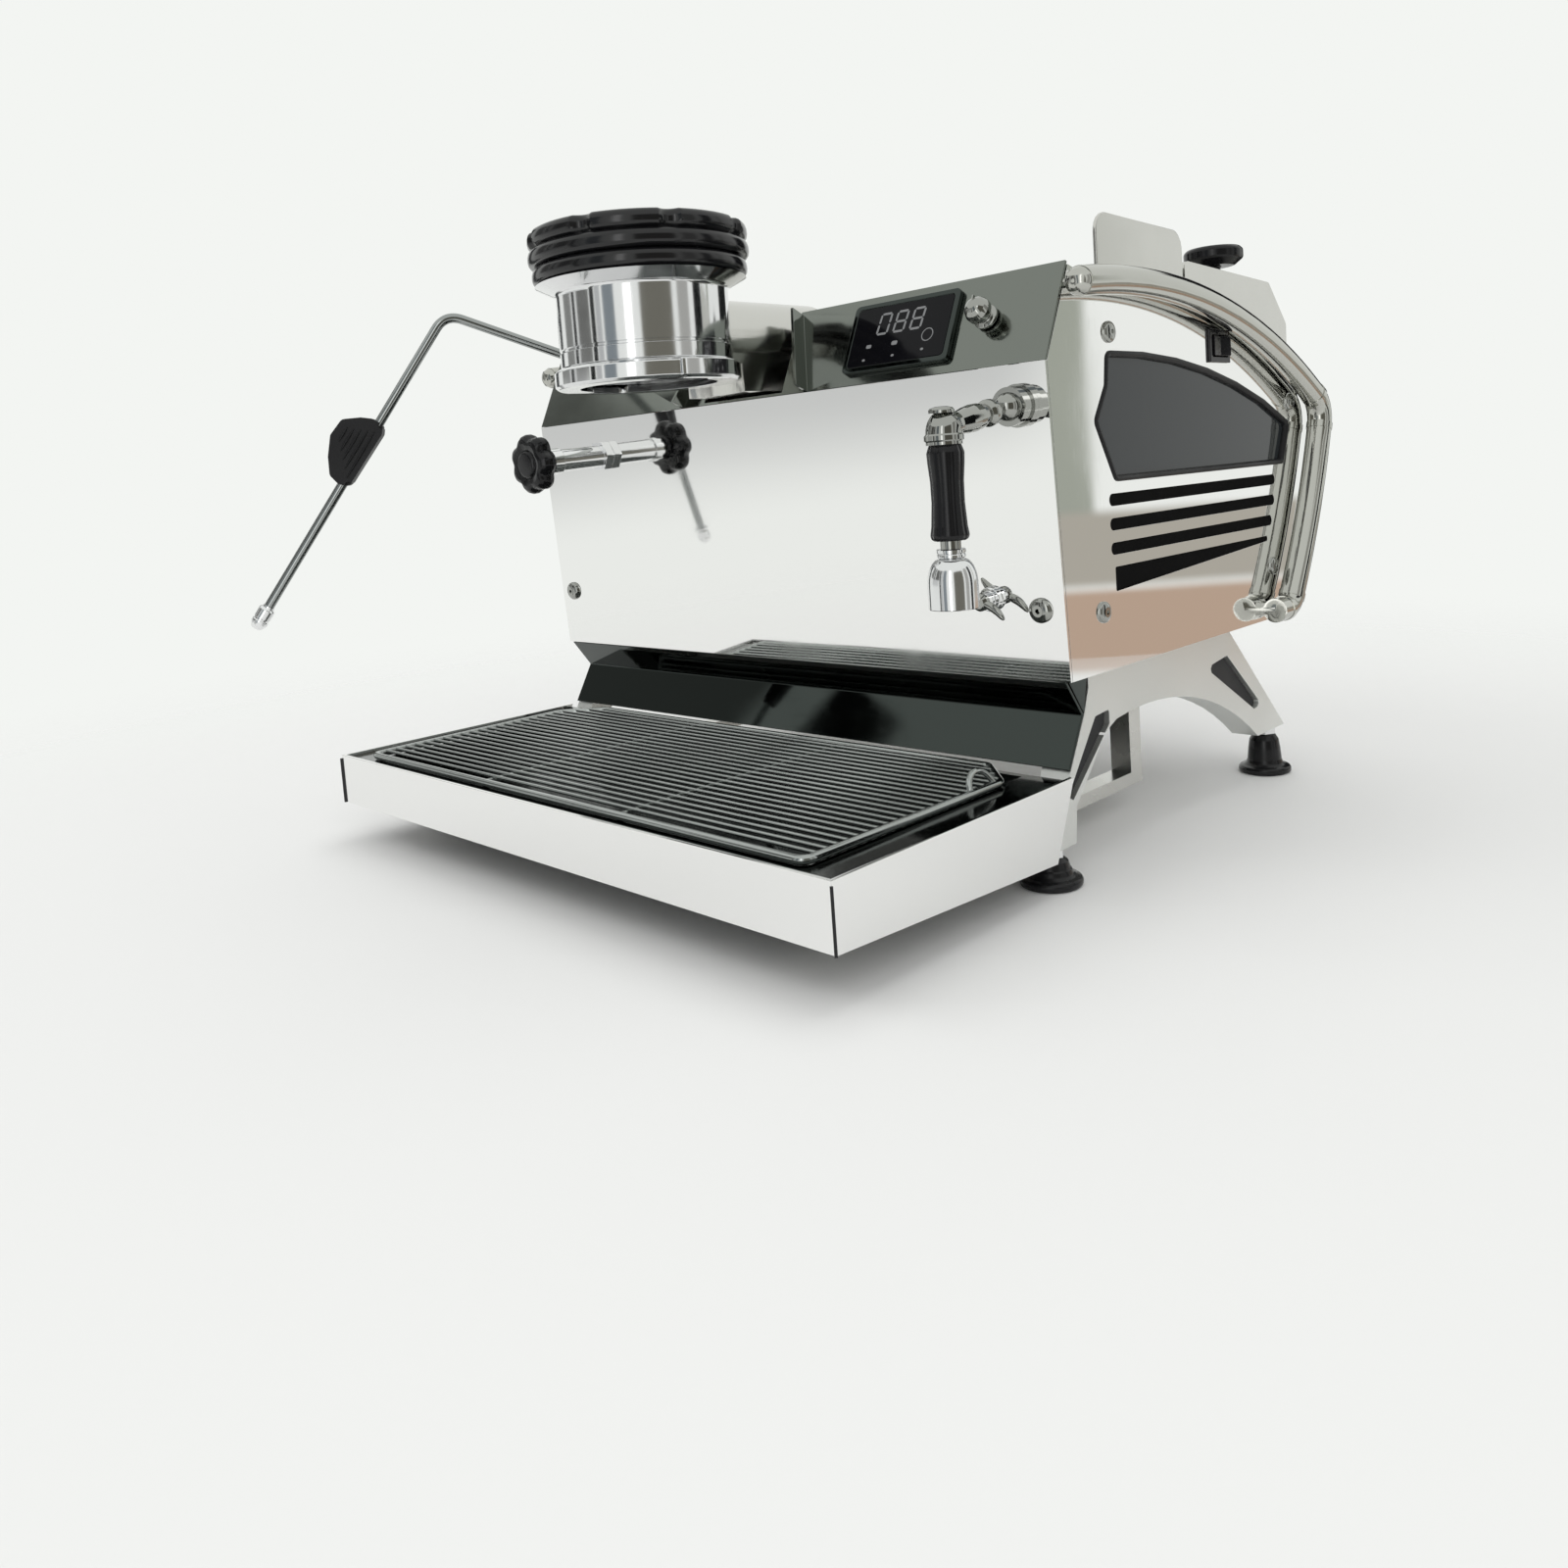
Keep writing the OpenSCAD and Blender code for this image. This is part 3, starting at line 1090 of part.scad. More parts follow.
module dome_head(d, h) {
    radius = (d * d / 4 + h * h) / (2 * h);
    half = asin(d / 2 / radius);
    rotate_extrude() polygon(concat([[0, 0]], [for (k = [6:-1:0])
        [radius * sin(half * k / 6), h - radius + radius * cos(half * k / 6)]]));
}
screw_tail = 8;
module panel_screws() color(chrome) {
    for (s = [-1, 1], p = screw_places) housing() side(s) translate([side_x + side_t + touch, p[0], p[1]])
        rotate([0, 90, 0]) {
            difference() {
                dome_head(side_screw_d, screw_dome);
                translate([0, 0, screw_dome - 1.2]) cylinder(d = 4, h = 4, $fn = 6);
            }
            translate([0, 0, -side_t - 2]) cylinder(d = side_hole_d - 2 * touch, h = side_t + 2.5);
        }
    for (b = front_bolts) on_front() translate([b[0], -touch, b[1]]) rotate([90, 0, 0]) {
        difference() {
            dome_head(front_bolt_d, screw_dome + 1);
            translate([0, 0, screw_dome - 1]) cylinder(d = 5, h = 6, $fn = 6);
        }
        translate([0, 0, -sheet_t - screw_tail])
            cylinder(d = front_hole_d - 2 * touch, h = sheet_t + screw_tail + 0.5);
    }
}

// --- inside ----------------------------------------------------------------------------------
brew_boiler_y = 82;
boiler_gap = 5.35;                        // under the deck sheet
boiler_step = 48;                         // the steam boiler's axis lies this much lower
brew_boiler_at = [0, brew_boiler_y, deck_z(brew_boiler_y) - sheet_t - boiler_gap - brew_boiler_d / 2];
steam_boiler_at = [0, 178, brew_boiler_at[2] - boiler_step];
pan_top = seam + floor_t;
module boiler(at, d, length) translate(at - [length / 2, 0, 0]) rotate([0, 90, 0]) rotate_extrude() polygon([
    [0, 0], [d / 2 - 10, 0], [d / 2 - 3, 3], [d / 2, 10], [d / 2, length - 10], [d / 2 - 3, length - 3],
    [d / 2 - 10, length], [0, length]]);
module saddle(at, d, x, w) translate([x - w / 2, at[1] - d / 3, pan_top + touch]) difference() {
    cube([w, 2 * d / 3, at[2] - pan_top - d / 4]);
    translate([-over, d / 3, at[2] - pan_top]) along_x(d - 1, w + 2 * over);
}
module brew_boiler() color(chrome) housing() {
    boiler(brew_boiler_at, brew_boiler_d, brew_boiler_len);
    for (x = [0, 60]) difference() {
        translate([x - 3, brew_boiler_at[1] + 14, pan_top + touch]) cube([6, 20, brew_boiler_at[2] - 30]);
        brew_boiler_room(-0.5);
    }
}
// The brew boiler's cylinder from side to side, grown by g
module brew_boiler_room(g) translate(brew_boiler_at - [body_w / 4, 0, 0])
    along_x(brew_boiler_d + 2 * g, body_w / 2);
module steam_boiler() color(chrome) housing() {
    boiler(steam_boiler_at, steam_boiler_d, steam_boiler_len);
    for (x = [-70, 70]) saddle(steam_boiler_at, steam_boiler_d, x, 8);
}
heater_head = 8;
heater_pin = 12;
module heater(at, x) translate([x, at[1], at[2]]) {
    translate([-heater_head, 0, 0]) rotate([0, 90, 0]) cylinder(d = 38, h = heater_head - touch, $fn = 6);
    for (y = [-8, 8]) translate([-heater_head - heater_pin, y, 0]) along_x(5, heater_pin + over);
}
module heating_elements() color(brass) housing() {
    heater(brew_boiler_at, -brew_boiler_len / 2);
    heater(steam_boiler_at, -steam_boiler_len / 2);
}
motor_at = [28 - side_x, 62, pan_top + 4 + motor_d / 2];
motor_foot = [10, 44, 12];
module pump_motor() color(dark_steel) housing() {
    translate(motor_at) along_x(motor_d, motor_len);
    for (x = [14, motor_len - 14 - motor_foot[0]])
        translate([motor_at[0] + x, motor_at[1] - motor_foot[1] / 2, pan_top + touch]) cube(motor_foot);
}
pump_len = 40;
pump_d = 48;
pump_port = 6;
pump_end = motor_at[0] + motor_len + pump_len;
module pump() color(brass) housing() translate(motor_at + [motor_len + touch, 0, 0]) {
    along_x(pump_d, pump_len);
    translate([pump_len / 2, 0, 0]) cylinder(d = 16, h = pump_d / 2 + pump_port);
}
solenoid = [24, 28, 24];
coil_d = 20;
coil_h = 26;
solenoid_at = brew_boiler_at + [brew_boiler_len / 2 + touch, -solenoid[1] / 2, -20];
module solenoid_valve() color(brass) housing() translate(solenoid_at) {
    cube(solenoid);
    translate([solenoid[0] / 2, solenoid[1] / 2, solenoid[2] - touch]) cylinder(d = coil_d, h = coil_h);
}
// A run of pipe through the given corners, with an elbow fitting on each
module run(points) for (i = [0:len(points) - 2]) {
    rod(points[i], points[i + 1], line_d);
    if (i > 0) translate(points[i]) sphere(d = line_d + 2);
}
steam_top = steam_boiler_at[2] + steam_boiler_d / 2;
steam_out_x = 17 - steam_boiler_len / 2;
steam_run_z = steam_top + 16;
water_out_x = spout_x - 35;
pump_out_x = pump_end - pump_len / 2;
valve_z = valve_h * front_h / front_len;
valve_back = sheet_t + valve_block_depth - valve_h * front_lean / front_len;
wand_tail_y = wand_root[1] + (ball_out + sheet_t + 4) * control_h / control_len;
// A point on the inlet's axis, d behind the sheet's face
function inlet_in(d) = [inlet_x, rear_y(rear_z) - d * cos(rear_tilt), rear_z + d * sin(rear_tilt)];
line_z = inlet_in(30)[2];
module water_lines() color(copper) housing() {
    // inlet to pump
    run([inlet_in(12 + 2 * touch), inlet_in(30), [inlet_x, 112, line_z], [pump_end + 14, 112, line_z],
        [pump_end + 14, motor_at[1], line_z], [pump_end + touch, motor_at[1], line_z]]);
    // pump to brew boiler
    difference() {
        run([[pump_out_x, motor_at[1], motor_at[2] + pump_d / 2 + pump_port + 2 * touch],
            [pump_out_x, motor_at[1], brew_boiler_at[2] - 30]]);
        brew_boiler_room(touch);
    }
    // steam boiler to steam valve
    run([[steam_out_x, steam_boiler_at[1], steam_top + touch],
        [steam_out_x, steam_boiler_at[1], steam_run_z], [-valve_x, steam_boiler_at[1], steam_run_z],
        [-valve_x, 34, steam_run_z], [-valve_x, 34, valve_z], [-valve_x, valve_back + 2, valve_z]]);
    // steam valve to wand
    difference() {
        run([[-wand_x, wand_tail_y, valve_z + valve_block / 2 + 1],
            [-wand_x, wand_tail_y, wand_root[2] - clearance_h]]);
        translate([0, 0, -clearance_h]) translate(wand_root) rotate([-control_tilt, 0, 0])
            out(wand_hole_d + 2 * touch, -60, 60);
    }
    // steam boiler to hot-water spout
    run([[steam_boiler_len / 2 + touch, steam_boiler_at[1], steam_boiler_at[2]],
        [water_out_x, steam_boiler_at[1], steam_boiler_at[2]], [water_out_x, 20, steam_boiler_at[2]],
        [water_out_x, 20, spout_ball[2]], [spout_x, 20, spout_ball[2]],
        [spout_x, spout_ball[1] + 19, spout_ball[2]]]);
}
board = [74, 90, 2];
post_h = 8;
board_at = [side_x - 12 - board[0], 66, pan_top + touch];
module control_board() color("darkgreen") housing() translate(board_at) {
    translate([0, 0, post_h]) cube(board);
    for (x = [6, board[0] - 6], y = [6, board[1] - 6])
        translate([x, y, 0]) cylinder(d = 5, h = post_h + 0.5);
    for (y = [14, 36, 58]) translate([10, y, 9.5]) cube([20, 16, 14]);
    translate([44, 16, 9.5]) cube([22, 50, 18]);
}
module inlet_fitting() color(brass) housing() at_rear(inlet_x) {
    translate([0, 0, 6 - touch]) cylinder(d = inlet_d, h = inlet_len);
    translate([0, 0, 0.5]) cylinder(d = 27, h = 5.5, $fn = 6);
    translate([0, 0, -12]) cylinder(d = inlet_d - 2 - 2 * touch, h = 14);
}
module power_inlet() color(black) housing() at_rear(power_x) {
    difference() {
        union() {
            translate([-14 + touch, -11 + touch, -22]) cube([28 - 2 * touch, 22 - 2 * touch, 25]);
            translate([-17, -14, 0.5]) cube([34, 28, 2.5]);
        }
        translate([-12, -9, -16]) cube([24, 18, 30]);
    }
    for (p = [[-7, 0], [7, 0], [0, 4]])
        translate([p[0] - 1, p[1] - 2, -17]) cube([2, 4, 8.5]);
}

base_pan();
side_panel_right();
side_panel_left();
side_window_right();
side_window_left();
frame_tube_right();
frame_tube_left();
front_panel();
control_panel();
backsplash();
top_deck();
cup_rail();
rear_panel();
leg_right();
leg_left();
leg_inlays();
foot_pads();
foot_studs();
tray_rails();
group_neck();
group_body();
bayonet_ring();
group_gasket();
shower_screen();
brew_ring();
steam_valve();
steam_stem();
steam_knob();
wand_socket();
wand_swivel();
steam_wand();
wand_grip();
wand_tip();
spout_socket();
spout_arm();
spout_sleeve();
spout_bell();
bleed_cock();
bleed_lever();
display_frame();
display_glass();
selector_knob();
rocker_bezel();
rocker();
panel_screws();
hood_lid();
hood_knob();
tray_shell();
tray_pan();
tray_grate();
brew_boiler();
steam_boiler();
heating_elements();
pump();
pump_motor();
solenoid_valve();
water_lines();
control_board();
inlet_fitting();
power_inlet();
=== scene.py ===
import json
import math

import bmesh
import bpy
from mathutils import Matrix, Vector

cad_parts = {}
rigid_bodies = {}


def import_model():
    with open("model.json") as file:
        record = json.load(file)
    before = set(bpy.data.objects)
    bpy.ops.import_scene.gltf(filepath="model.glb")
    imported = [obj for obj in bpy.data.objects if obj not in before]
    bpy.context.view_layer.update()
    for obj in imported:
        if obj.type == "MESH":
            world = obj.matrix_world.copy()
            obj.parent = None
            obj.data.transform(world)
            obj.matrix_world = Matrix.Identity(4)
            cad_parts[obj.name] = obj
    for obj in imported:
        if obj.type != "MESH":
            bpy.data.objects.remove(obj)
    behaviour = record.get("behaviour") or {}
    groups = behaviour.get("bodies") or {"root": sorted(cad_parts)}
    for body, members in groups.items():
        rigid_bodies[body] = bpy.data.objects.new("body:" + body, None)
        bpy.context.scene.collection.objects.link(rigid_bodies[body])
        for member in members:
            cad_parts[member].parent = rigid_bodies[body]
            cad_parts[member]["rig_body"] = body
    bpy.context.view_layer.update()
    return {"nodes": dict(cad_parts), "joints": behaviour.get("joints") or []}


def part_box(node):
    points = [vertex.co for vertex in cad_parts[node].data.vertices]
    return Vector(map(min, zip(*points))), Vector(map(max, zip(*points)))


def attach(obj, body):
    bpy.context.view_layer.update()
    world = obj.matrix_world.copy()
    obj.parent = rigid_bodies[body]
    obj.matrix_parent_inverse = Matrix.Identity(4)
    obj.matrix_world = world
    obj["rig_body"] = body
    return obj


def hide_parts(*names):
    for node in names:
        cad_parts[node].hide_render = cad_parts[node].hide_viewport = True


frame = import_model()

joints = {joint["name"]: joint for joint in frame["joints"]}
print("frame loaded with", len(frame["nodes"]), "nodes")

# places taken from the frame


def pick(sizes, *parts):
    return [sizes[part] for part in parts]


def jointPlace(name):
    return Vector(joints[name]["pos_m"])


def boxOf(nodeName):
    return [Vector(corner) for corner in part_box(nodeName)]


def boxAround(points):
    # the low and high corners of the box that holds some points
    return [Vector([end(point[axis] for point in points) for axis in range(3)])
            for end in (min, max)]


def baseOf(low, high):
    # the middle of a box's underside
    return Vector(((low.x + high.x) / 2, (low.y + high.y) / 2, low.z))


def roundSize(low, high):
    # radius and height of what fills a box round an upright axis
    return (high.x - low.x) / 2, high.z - low.z


def nodePoints(nodeName):
    return [vertex.co for vertex in frame["nodes"][nodeName].data.vertices]


def nodeSpan(nodeName, place, normal):
    # how far a CAD node reaches along a direction from a place
    reach = [(point - place).dot(normal) for point in nodePoints(nodeName)]
    return min(reach), max(reach)


def axesAt(place, across, up, out):
    # a place with its own X, Y and Z directions
    return Matrix.Translation(place) @ Matrix((across, up, out)).transposed().to_4x4()


def facing(place, normal):
    # local X to the right, local Y up the sheet, local Z straight out of it
    out = normal.normalized()
    right = Vector((1, 0, 0))
    return axesAt(place, right, out.cross(right).normalized(), out)


def along(start, end):
    # local Z from one point towards another
    turn = (end - start).to_track_quat("Z", "Y").to_matrix().to_4x4()
    return Matrix.Translation(start) @ turn


sheet = 0.0015
panelLow, panelHigh = boxOf("front_panel")
frontNormal = Vector(joints["steam_knob_turn"]["axis"])
controlNormal = Vector(joints["selector_turn"]["axis"])
# the bottom edge of the front panel's outer face, midway across
housing = Vector(((panelLow.x + panelHigh.x) / 2, panelHigh.y + sheet * frontNormal.y, panelLow.z))

# objects and meshes


def newObject(name, data):
    thing = bpy.data.objects.new(name, data)
    bpy.context.scene.collection.objects.link(thing)
    return thing


def meshFrom(name, built):
    mesh = bpy.data.meshes.new(name)
    built.to_mesh(mesh)
    built.free()
    return mesh


def shadeSmooth(mesh, sharp):
    mesh.shade_smooth()
    mesh.set_sharp_from_angle(angle=math.radians(sharp))


def shapedMesh(carrier):
    # the plain mesh that a carrier's modifiers make; the carrier itself goes
    depsgraph = bpy.context.evaluated_depsgraph_get()
    shaped = bpy.data.meshes.new_from_object(carrier.evaluated_get(depsgraph))
    bpy.data.objects.remove(carrier)
    return shaped


def copyOfNode(nodeName):
    # a CAD node's mesh with its triangles joined up
    built = bmesh.new()
    built.from_mesh(frame["nodes"][nodeName].data)
    bmesh.ops.remove_doubles(built, verts=built.verts, dist=2e-6)
    return built


def addPiece(name, mesh, finish, body, replaced=()):
    mesh.materials.clear()
    mesh.materials.append(finishes[finish])
    piece = newObject(name, mesh)
    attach(piece, body)
    if replaced:
        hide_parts(*replaced)


def finishMesh(name, built, finish, body, replaced=(), sharp=40, place=None):
    # turns a bmesh into a piece whose object stays at the origin
    if place is not None:
        bmesh.ops.transform(built, matrix=place, verts=built.verts)
    bmesh.ops.remove_doubles(built, verts=built.verts, dist=1e-7)
    bmesh.ops.recalc_face_normals(built, faces=built.faces)
    mesh = meshFrom(name, built)
    shadeSmooth(mesh, sharp)
    addPiece(name, mesh, finish, body, replaced)


# forms


def fillet(points, radius, steps=4, closed=True):
    # rounds the corners of an outline; an open one keeps its ends
    straight = math.pi - 0.02
    mostOfSide = 0.48
    rounded = []
    count = len(points)
    for index, point in enumerate(points):
        here = Vector(point)
        before = Vector(points[index - 1]) - here
        after = Vector(points[(index + 1) % count]) - here
        atEnd = not closed and index in (0, count - 1)
        if atEnd or before.angle(after) > straight:
            rounded.append(point)
            continue
        reach = min(radius / math.tan(before.angle(after) / 2),
                    before.length * mostOfSide, after.length * mostOfSide)
        first = here + before.normalized() * reach
        last = here + after.normalized() * reach
        for step in range(steps + 1):
            blend = step / steps
            mixed = first.lerp(here, blend).lerp(here.lerp(last, blend), blend)
            rounded.append(tuple(mixed))
    return rounded


def ballProfile(radius, steps=24):
    turns = [math.pi * step / steps for step in range(steps + 1)]
    return [(radius * math.sin(turn), -radius * math.cos(turn)) for turn in turns]


def turned(built, profile, segments=96, shape=None, place=None):
    # revolves (radius, height) points about Z; shape may vary a radius with the angle
    rings = []
    for radius, height in profile:
        angles = [2 * math.pi * step / segments for step in range(segments if radius > 1e-7 else 1)]
        ring = []
        for angle in angles:
            away = shape(radius, height, angle) if shape else radius
            ring.append(built.verts.new((away * math.cos(angle), away * math.sin(angle), height)))
        rings.append(ring)
    for low, high in zip(rings, rings[1:]):
        for step in range(segments):
            after = (step + 1) % segments
            corners = [low[step % len(low)], low[after % len(low)],
                       high[after % len(high)], high[step % len(high)]]
            built.faces.new(list(dict.fromkeys(corners)))
    if place is not None:
        bmesh.ops.transform(built, matrix=place, verts=[vert for ring in rings for vert in ring])


def ringed(built, profile, segments=96, shape=None, place=None):
    # a revolved outline that closes on itself round a hole
    turned(built, profile + [profile[0]], segments, shape, place)


def tube(built, path, radius, sides=24):
    # round bar along a path, with a radius for each point if a list is given
    points = [Vector(point) for point in path]
    sizes = radius if isinstance(radius, list) else [radius] * len(points)
    across = None
    rings = []
    for index, point in enumerate(points):
        ahead = points[min(index + 1, len(points) - 1)] - points[max(index - 1, 0)]
        ahead.normalize()
        if across is None:
            across = ahead.orthogonal().normalized()
        across = (across - ahead * across.dot(ahead)).normalized()
        beside = ahead.cross(across)
        ring = []
        for step in range(sides):
            angle = 2 * math.pi * step / sides
            aside = across * math.cos(angle) + beside * math.sin(angle)
            ring.append(built.verts.new(point + aside * sizes[index]))
        rings.append(ring)
    for low, high in zip(rings, rings[1:]):
        for step in range(sides):
            after = (step + 1) % sides
            built.faces.new((low[step], low[after], high[after], high[step]))
    built.faces.new(rings[0][::-1])
    built.faces.new(rings[-1])


def plate(built, outline, low, high, edge=0, segments=2, place=None):
    # extrudes a flat outline between two heights and rounds its rims
    base, top = ([built.verts.new((x, y, level)) for x, y in outline] for level in (low, high))
    caps = [built.faces.new(base[::-1]), built.faces.new(top)]
    for index in range(len(outline)):
        after = (index + 1) % len(outline)
        built.faces.new((base[index], base[after], top[after], top[index]))
    verts = base + top
    if edge > 0:
        rims = [rim for cap in caps for rim in cap.edges]
        bevelled = bmesh.ops.bevel(
            built, geom=rims, offset=edge, segments=segments, affect="EDGES", clamp_overlap=True)
        verts = {vert for vert in verts + bevelled["verts"] if vert.is_valid}
    if place is not None:
        bmesh.ops.transform(built, matrix=place, verts=list(verts))


# shader and geometry nodes


def feed(tree, node, inputs):
    # gives each input its value, or links it to the output that feeds it
    for label, value in inputs.items():
        if isinstance(value, bpy.types.NodeSocket):
            tree.links.new(value, node.inputs[label])
        else:
            node.inputs[label].default_value = value


def addNode(tree, kind, inputs=None, **settings):
    # a new node with its settings and inputs; its outputs come back
    node = tree.nodes.new(kind)
    for label, value in settings.items():
        setattr(node, label, value)
    feed(tree, node, inputs or {})
    return node.outputs


def calculated(tree, operation, first, second):
    return addNode(tree, "ShaderNodeMath", {0: first, 1: second}, operation=operation)["Value"]


def newGroup(kind, name, inputs, outputs):
    # an empty node group; what comes back feeds its nodes
    group = bpy.data.node_groups.new(name, kind + "NodeTree")
    for label, socketKind in inputs.items():
        group.interface.new_socket(
            label, in_out="INPUT", socket_type="NodeSocket" + socketKind)
    for label, socketKind in outputs.items():
        group.interface.new_socket(
            label, in_out="OUTPUT", socket_type="NodeSocket" + socketKind)
    return group, addNode(group, "NodeGroupInput")


def shaderGroup(name, inputs, outputs):
    return newGroup("Shader", name, dict.fromkeys(inputs, "Float"), dict.fromkeys(outputs, "Float"))


def polishGroup():
    # large smudges and fine wiping marks that vary the roughness of a polished sheet
    group, given = shaderGroup(
        "PolishMarks", ["Scale", "Low", "High", "Wave"], ["Roughness", "Height"])
    place = addNode(group, "ShaderNodeTexCoord")["Object"]
    smudge = addNode(group, "ShaderNodeTexNoise", {
        "Vector": place, "Scale": given["Scale"], "Detail": 5, "Roughness": 0.62})
    spread = addNode(group, "ShaderNodeMapRange", {
        "Value": smudge["Fac"], "From Min": 0.38, "From Max": 0.72,
        "To Min": given["Low"], "To Max": given["High"]})
    stretch = addNode(group, "ShaderNodeMapping", {
        "Vector": place, "Rotation": (0.3, 0.5, 0.2), "Scale": (1, 9, 1)})
    wiping = addNode(group, "ShaderNodeTexNoise", {
        "Vector": stretch["Vector"], "Scale": 70, "Detail": 3})
    fine = addNode(group, "ShaderNodeMapRange", {
        "Value": wiping["Fac"], "From Min": 0.5, "From Max": 0.75, "To Max": 0.02})
    wave = addNode(group, "ShaderNodeTexNoise", {"Vector": place, "Scale": 7, "Detail": 0})
    addNode(group, "NodeGroupOutput", {
        "Roughness": calculated(group, "ADD", spread["Result"], fine["Result"]),
        "Height": calculated(group, "MULTIPLY", wave["Fac"], given["Wave"])})
    return group


def grainGroup():
    # close grain of a moulded, cast or brushed surface, with a slow change of shade
    group, given = shaderGroup(
        "SurfaceGrain", ["Scale", "Along X", "Along Y", "Along Z", "Low", "High"],
        ["Roughness", "Height", "Shade"])
    place = addNode(group, "ShaderNodeTexCoord")["Object"]
    factors = addNode(group, "ShaderNodeCombineXYZ", {
        label: given["Along " + label] for label in ("X", "Y", "Z")})
    stretch = addNode(
        group, "ShaderNodeVectorMath", {0: place, 1: factors["Vector"]}, operation="MULTIPLY")
    grain = addNode(group, "ShaderNodeTexNoise", {
        "Vector": stretch["Vector"], "Scale": given["Scale"], "Detail": 3})
    patch = addNode(group, "ShaderNodeTexNoise", {"Vector": place, "Scale": 22, "Detail": 4})
    spread = addNode(group, "ShaderNodeMapRange", {
        "Value": patch["Fac"], "From Min": 0.35, "From Max": 0.7,
        "To Min": given["Low"], "To Max": given["High"]})
    addNode(group, "NodeGroupOutput", {
        "Roughness": spread["Result"], "Height": grain["Fac"], "Shade": patch["Fac"]})
    return group


polishMarks = polishGroup()
surfaceGrain = grainGroup()

# finishes


def newFinish(name, colour, metallic, roughness, specular=0.5):
    material = bpy.data.materials.new(name)
    material.use_nodes = True
    shader = material.node_tree.nodes["Principled BSDF"]
    feed(material.node_tree, shader, {
        "Base Color": (*colour, 1), "Metallic": metallic, "Roughness": roughness,
        "Specular IOR Level": specular})
    return material, shader


def placeGroup(tree, group, **values):
    inputs = {label.replace("_", " "): value for label, value in values.items()}
    return addNode(tree, "ShaderNodeGroup", inputs, node_tree=group)


def bumpOf(tree, height, strength, distance):
    return addNode(tree, "ShaderNodeBump", {
        "Height": height, "Strength": strength, "Distance": distance})["Normal"]


def polishedFinish(name, colour, low, high, scale=12, wave=1):
    material, shader = newFinish(name, colour, 1, low)
    tree = material.node_tree
    marks = placeGroup(tree, polishMarks, Scale=scale, Low=low, High=high, Wave=wave)
    feed(tree, shader, {
        "Roughness": marks["Roughness"],
        "Normal": bumpOf(tree, marks["Height"], strength=0.05, distance=0.01)})
    return material


def grainedFinish(name, first, last, metallic, low, high, scale, strength, distance,
                  specular=0.5, alongX=1):
    material, shader = newFinish(name, first, metallic, low, specular)
    tree = material.node_tree
    grain = placeGroup(
        tree, surfaceGrain, Scale=scale, Low=low, High=high, Along_X=alongX, Along_Y=1, Along_Z=1)
    mix = addNode(tree, "ShaderNodeMix", {
        "A": (*first, 1), "B": (*last, 1), "Factor": grain["Shade"]}, data_type="RGBA")
    feed(tree, shader, {
        "Roughness": grain["Roughness"], "Base Color": mix["Result"],
        "Normal": bumpOf(tree, grain["Height"], strength, distance)})
    return material


def smokedPane():
    material, shader = newFinish(
        "SmokedPane", (0.024, 0.028, 0.03), metallic=0, roughness=0.04, specular=0.3)
    marks = placeGroup(material.node_tree, polishMarks, Scale=18, Low=0.02, High=0.08, Wave=1)
    feed(material.node_tree, shader, {"Roughness": marks["Roughness"]})
    return material


# colour, lowest and highest roughness, scale of the smudges, height of the waves
polishedLooks = {
    "polished_steel": ((0.9, 0.9, 0.89), 0.025, 0.075),
    "chrome": ((0.84, 0.845, 0.85), 0.05, 0.09, 40, 0),
    "barrel_chrome": ((0.78, 0.785, 0.79), 0.08, 0.14, 30, 0),
    # chrome with its colour dimmed to paint in the dark surroundings it mirrors: painted reflection
    "dark_chrome": ((0.36, 0.365, 0.345), 0.04, 0.1, 40, 0),
    # a dark gray-green steel for the control panel
    "smoked_steel": ((0.2, 0.215, 0.195), 0.1, 0.18, 16),
    "black_steel": ((0.055, 0.064, 0.06), 0.03, 0.09, 16),
    # the pan's steel made near black to paint in the shade down in the pan: painted shade
    "tray_steel": ((0.085, 0.093, 0.09), 0.06, 0.16, 24),
    # frame tube steel dimmed and tinted olive to paint in what it mirrors: painted reflection
    "tube_steel": ((0.5, 0.5, 0.465), 0.07, 0.15, 20),
    # a rougher satin steel, with its colour dimmed and tinted brown to paint in what it mirrors:
    # painted reflection
    "soft_steel": ((0.62, 0.615, 0.585), 0.14, 0.24, 20),
    # the wand's steel dimmed to paint in the dark it mirrors: painted reflection
    "wand_steel": ((0.34, 0.355, 0.35), 0.06, 0.14, 30, 0),
    # grate wire steel darkened to paint in the shade in the tray: painted shade
    "wire_steel": ((0.4, 0.42, 0.41), 0.08, 0.16, 30, 0),
}
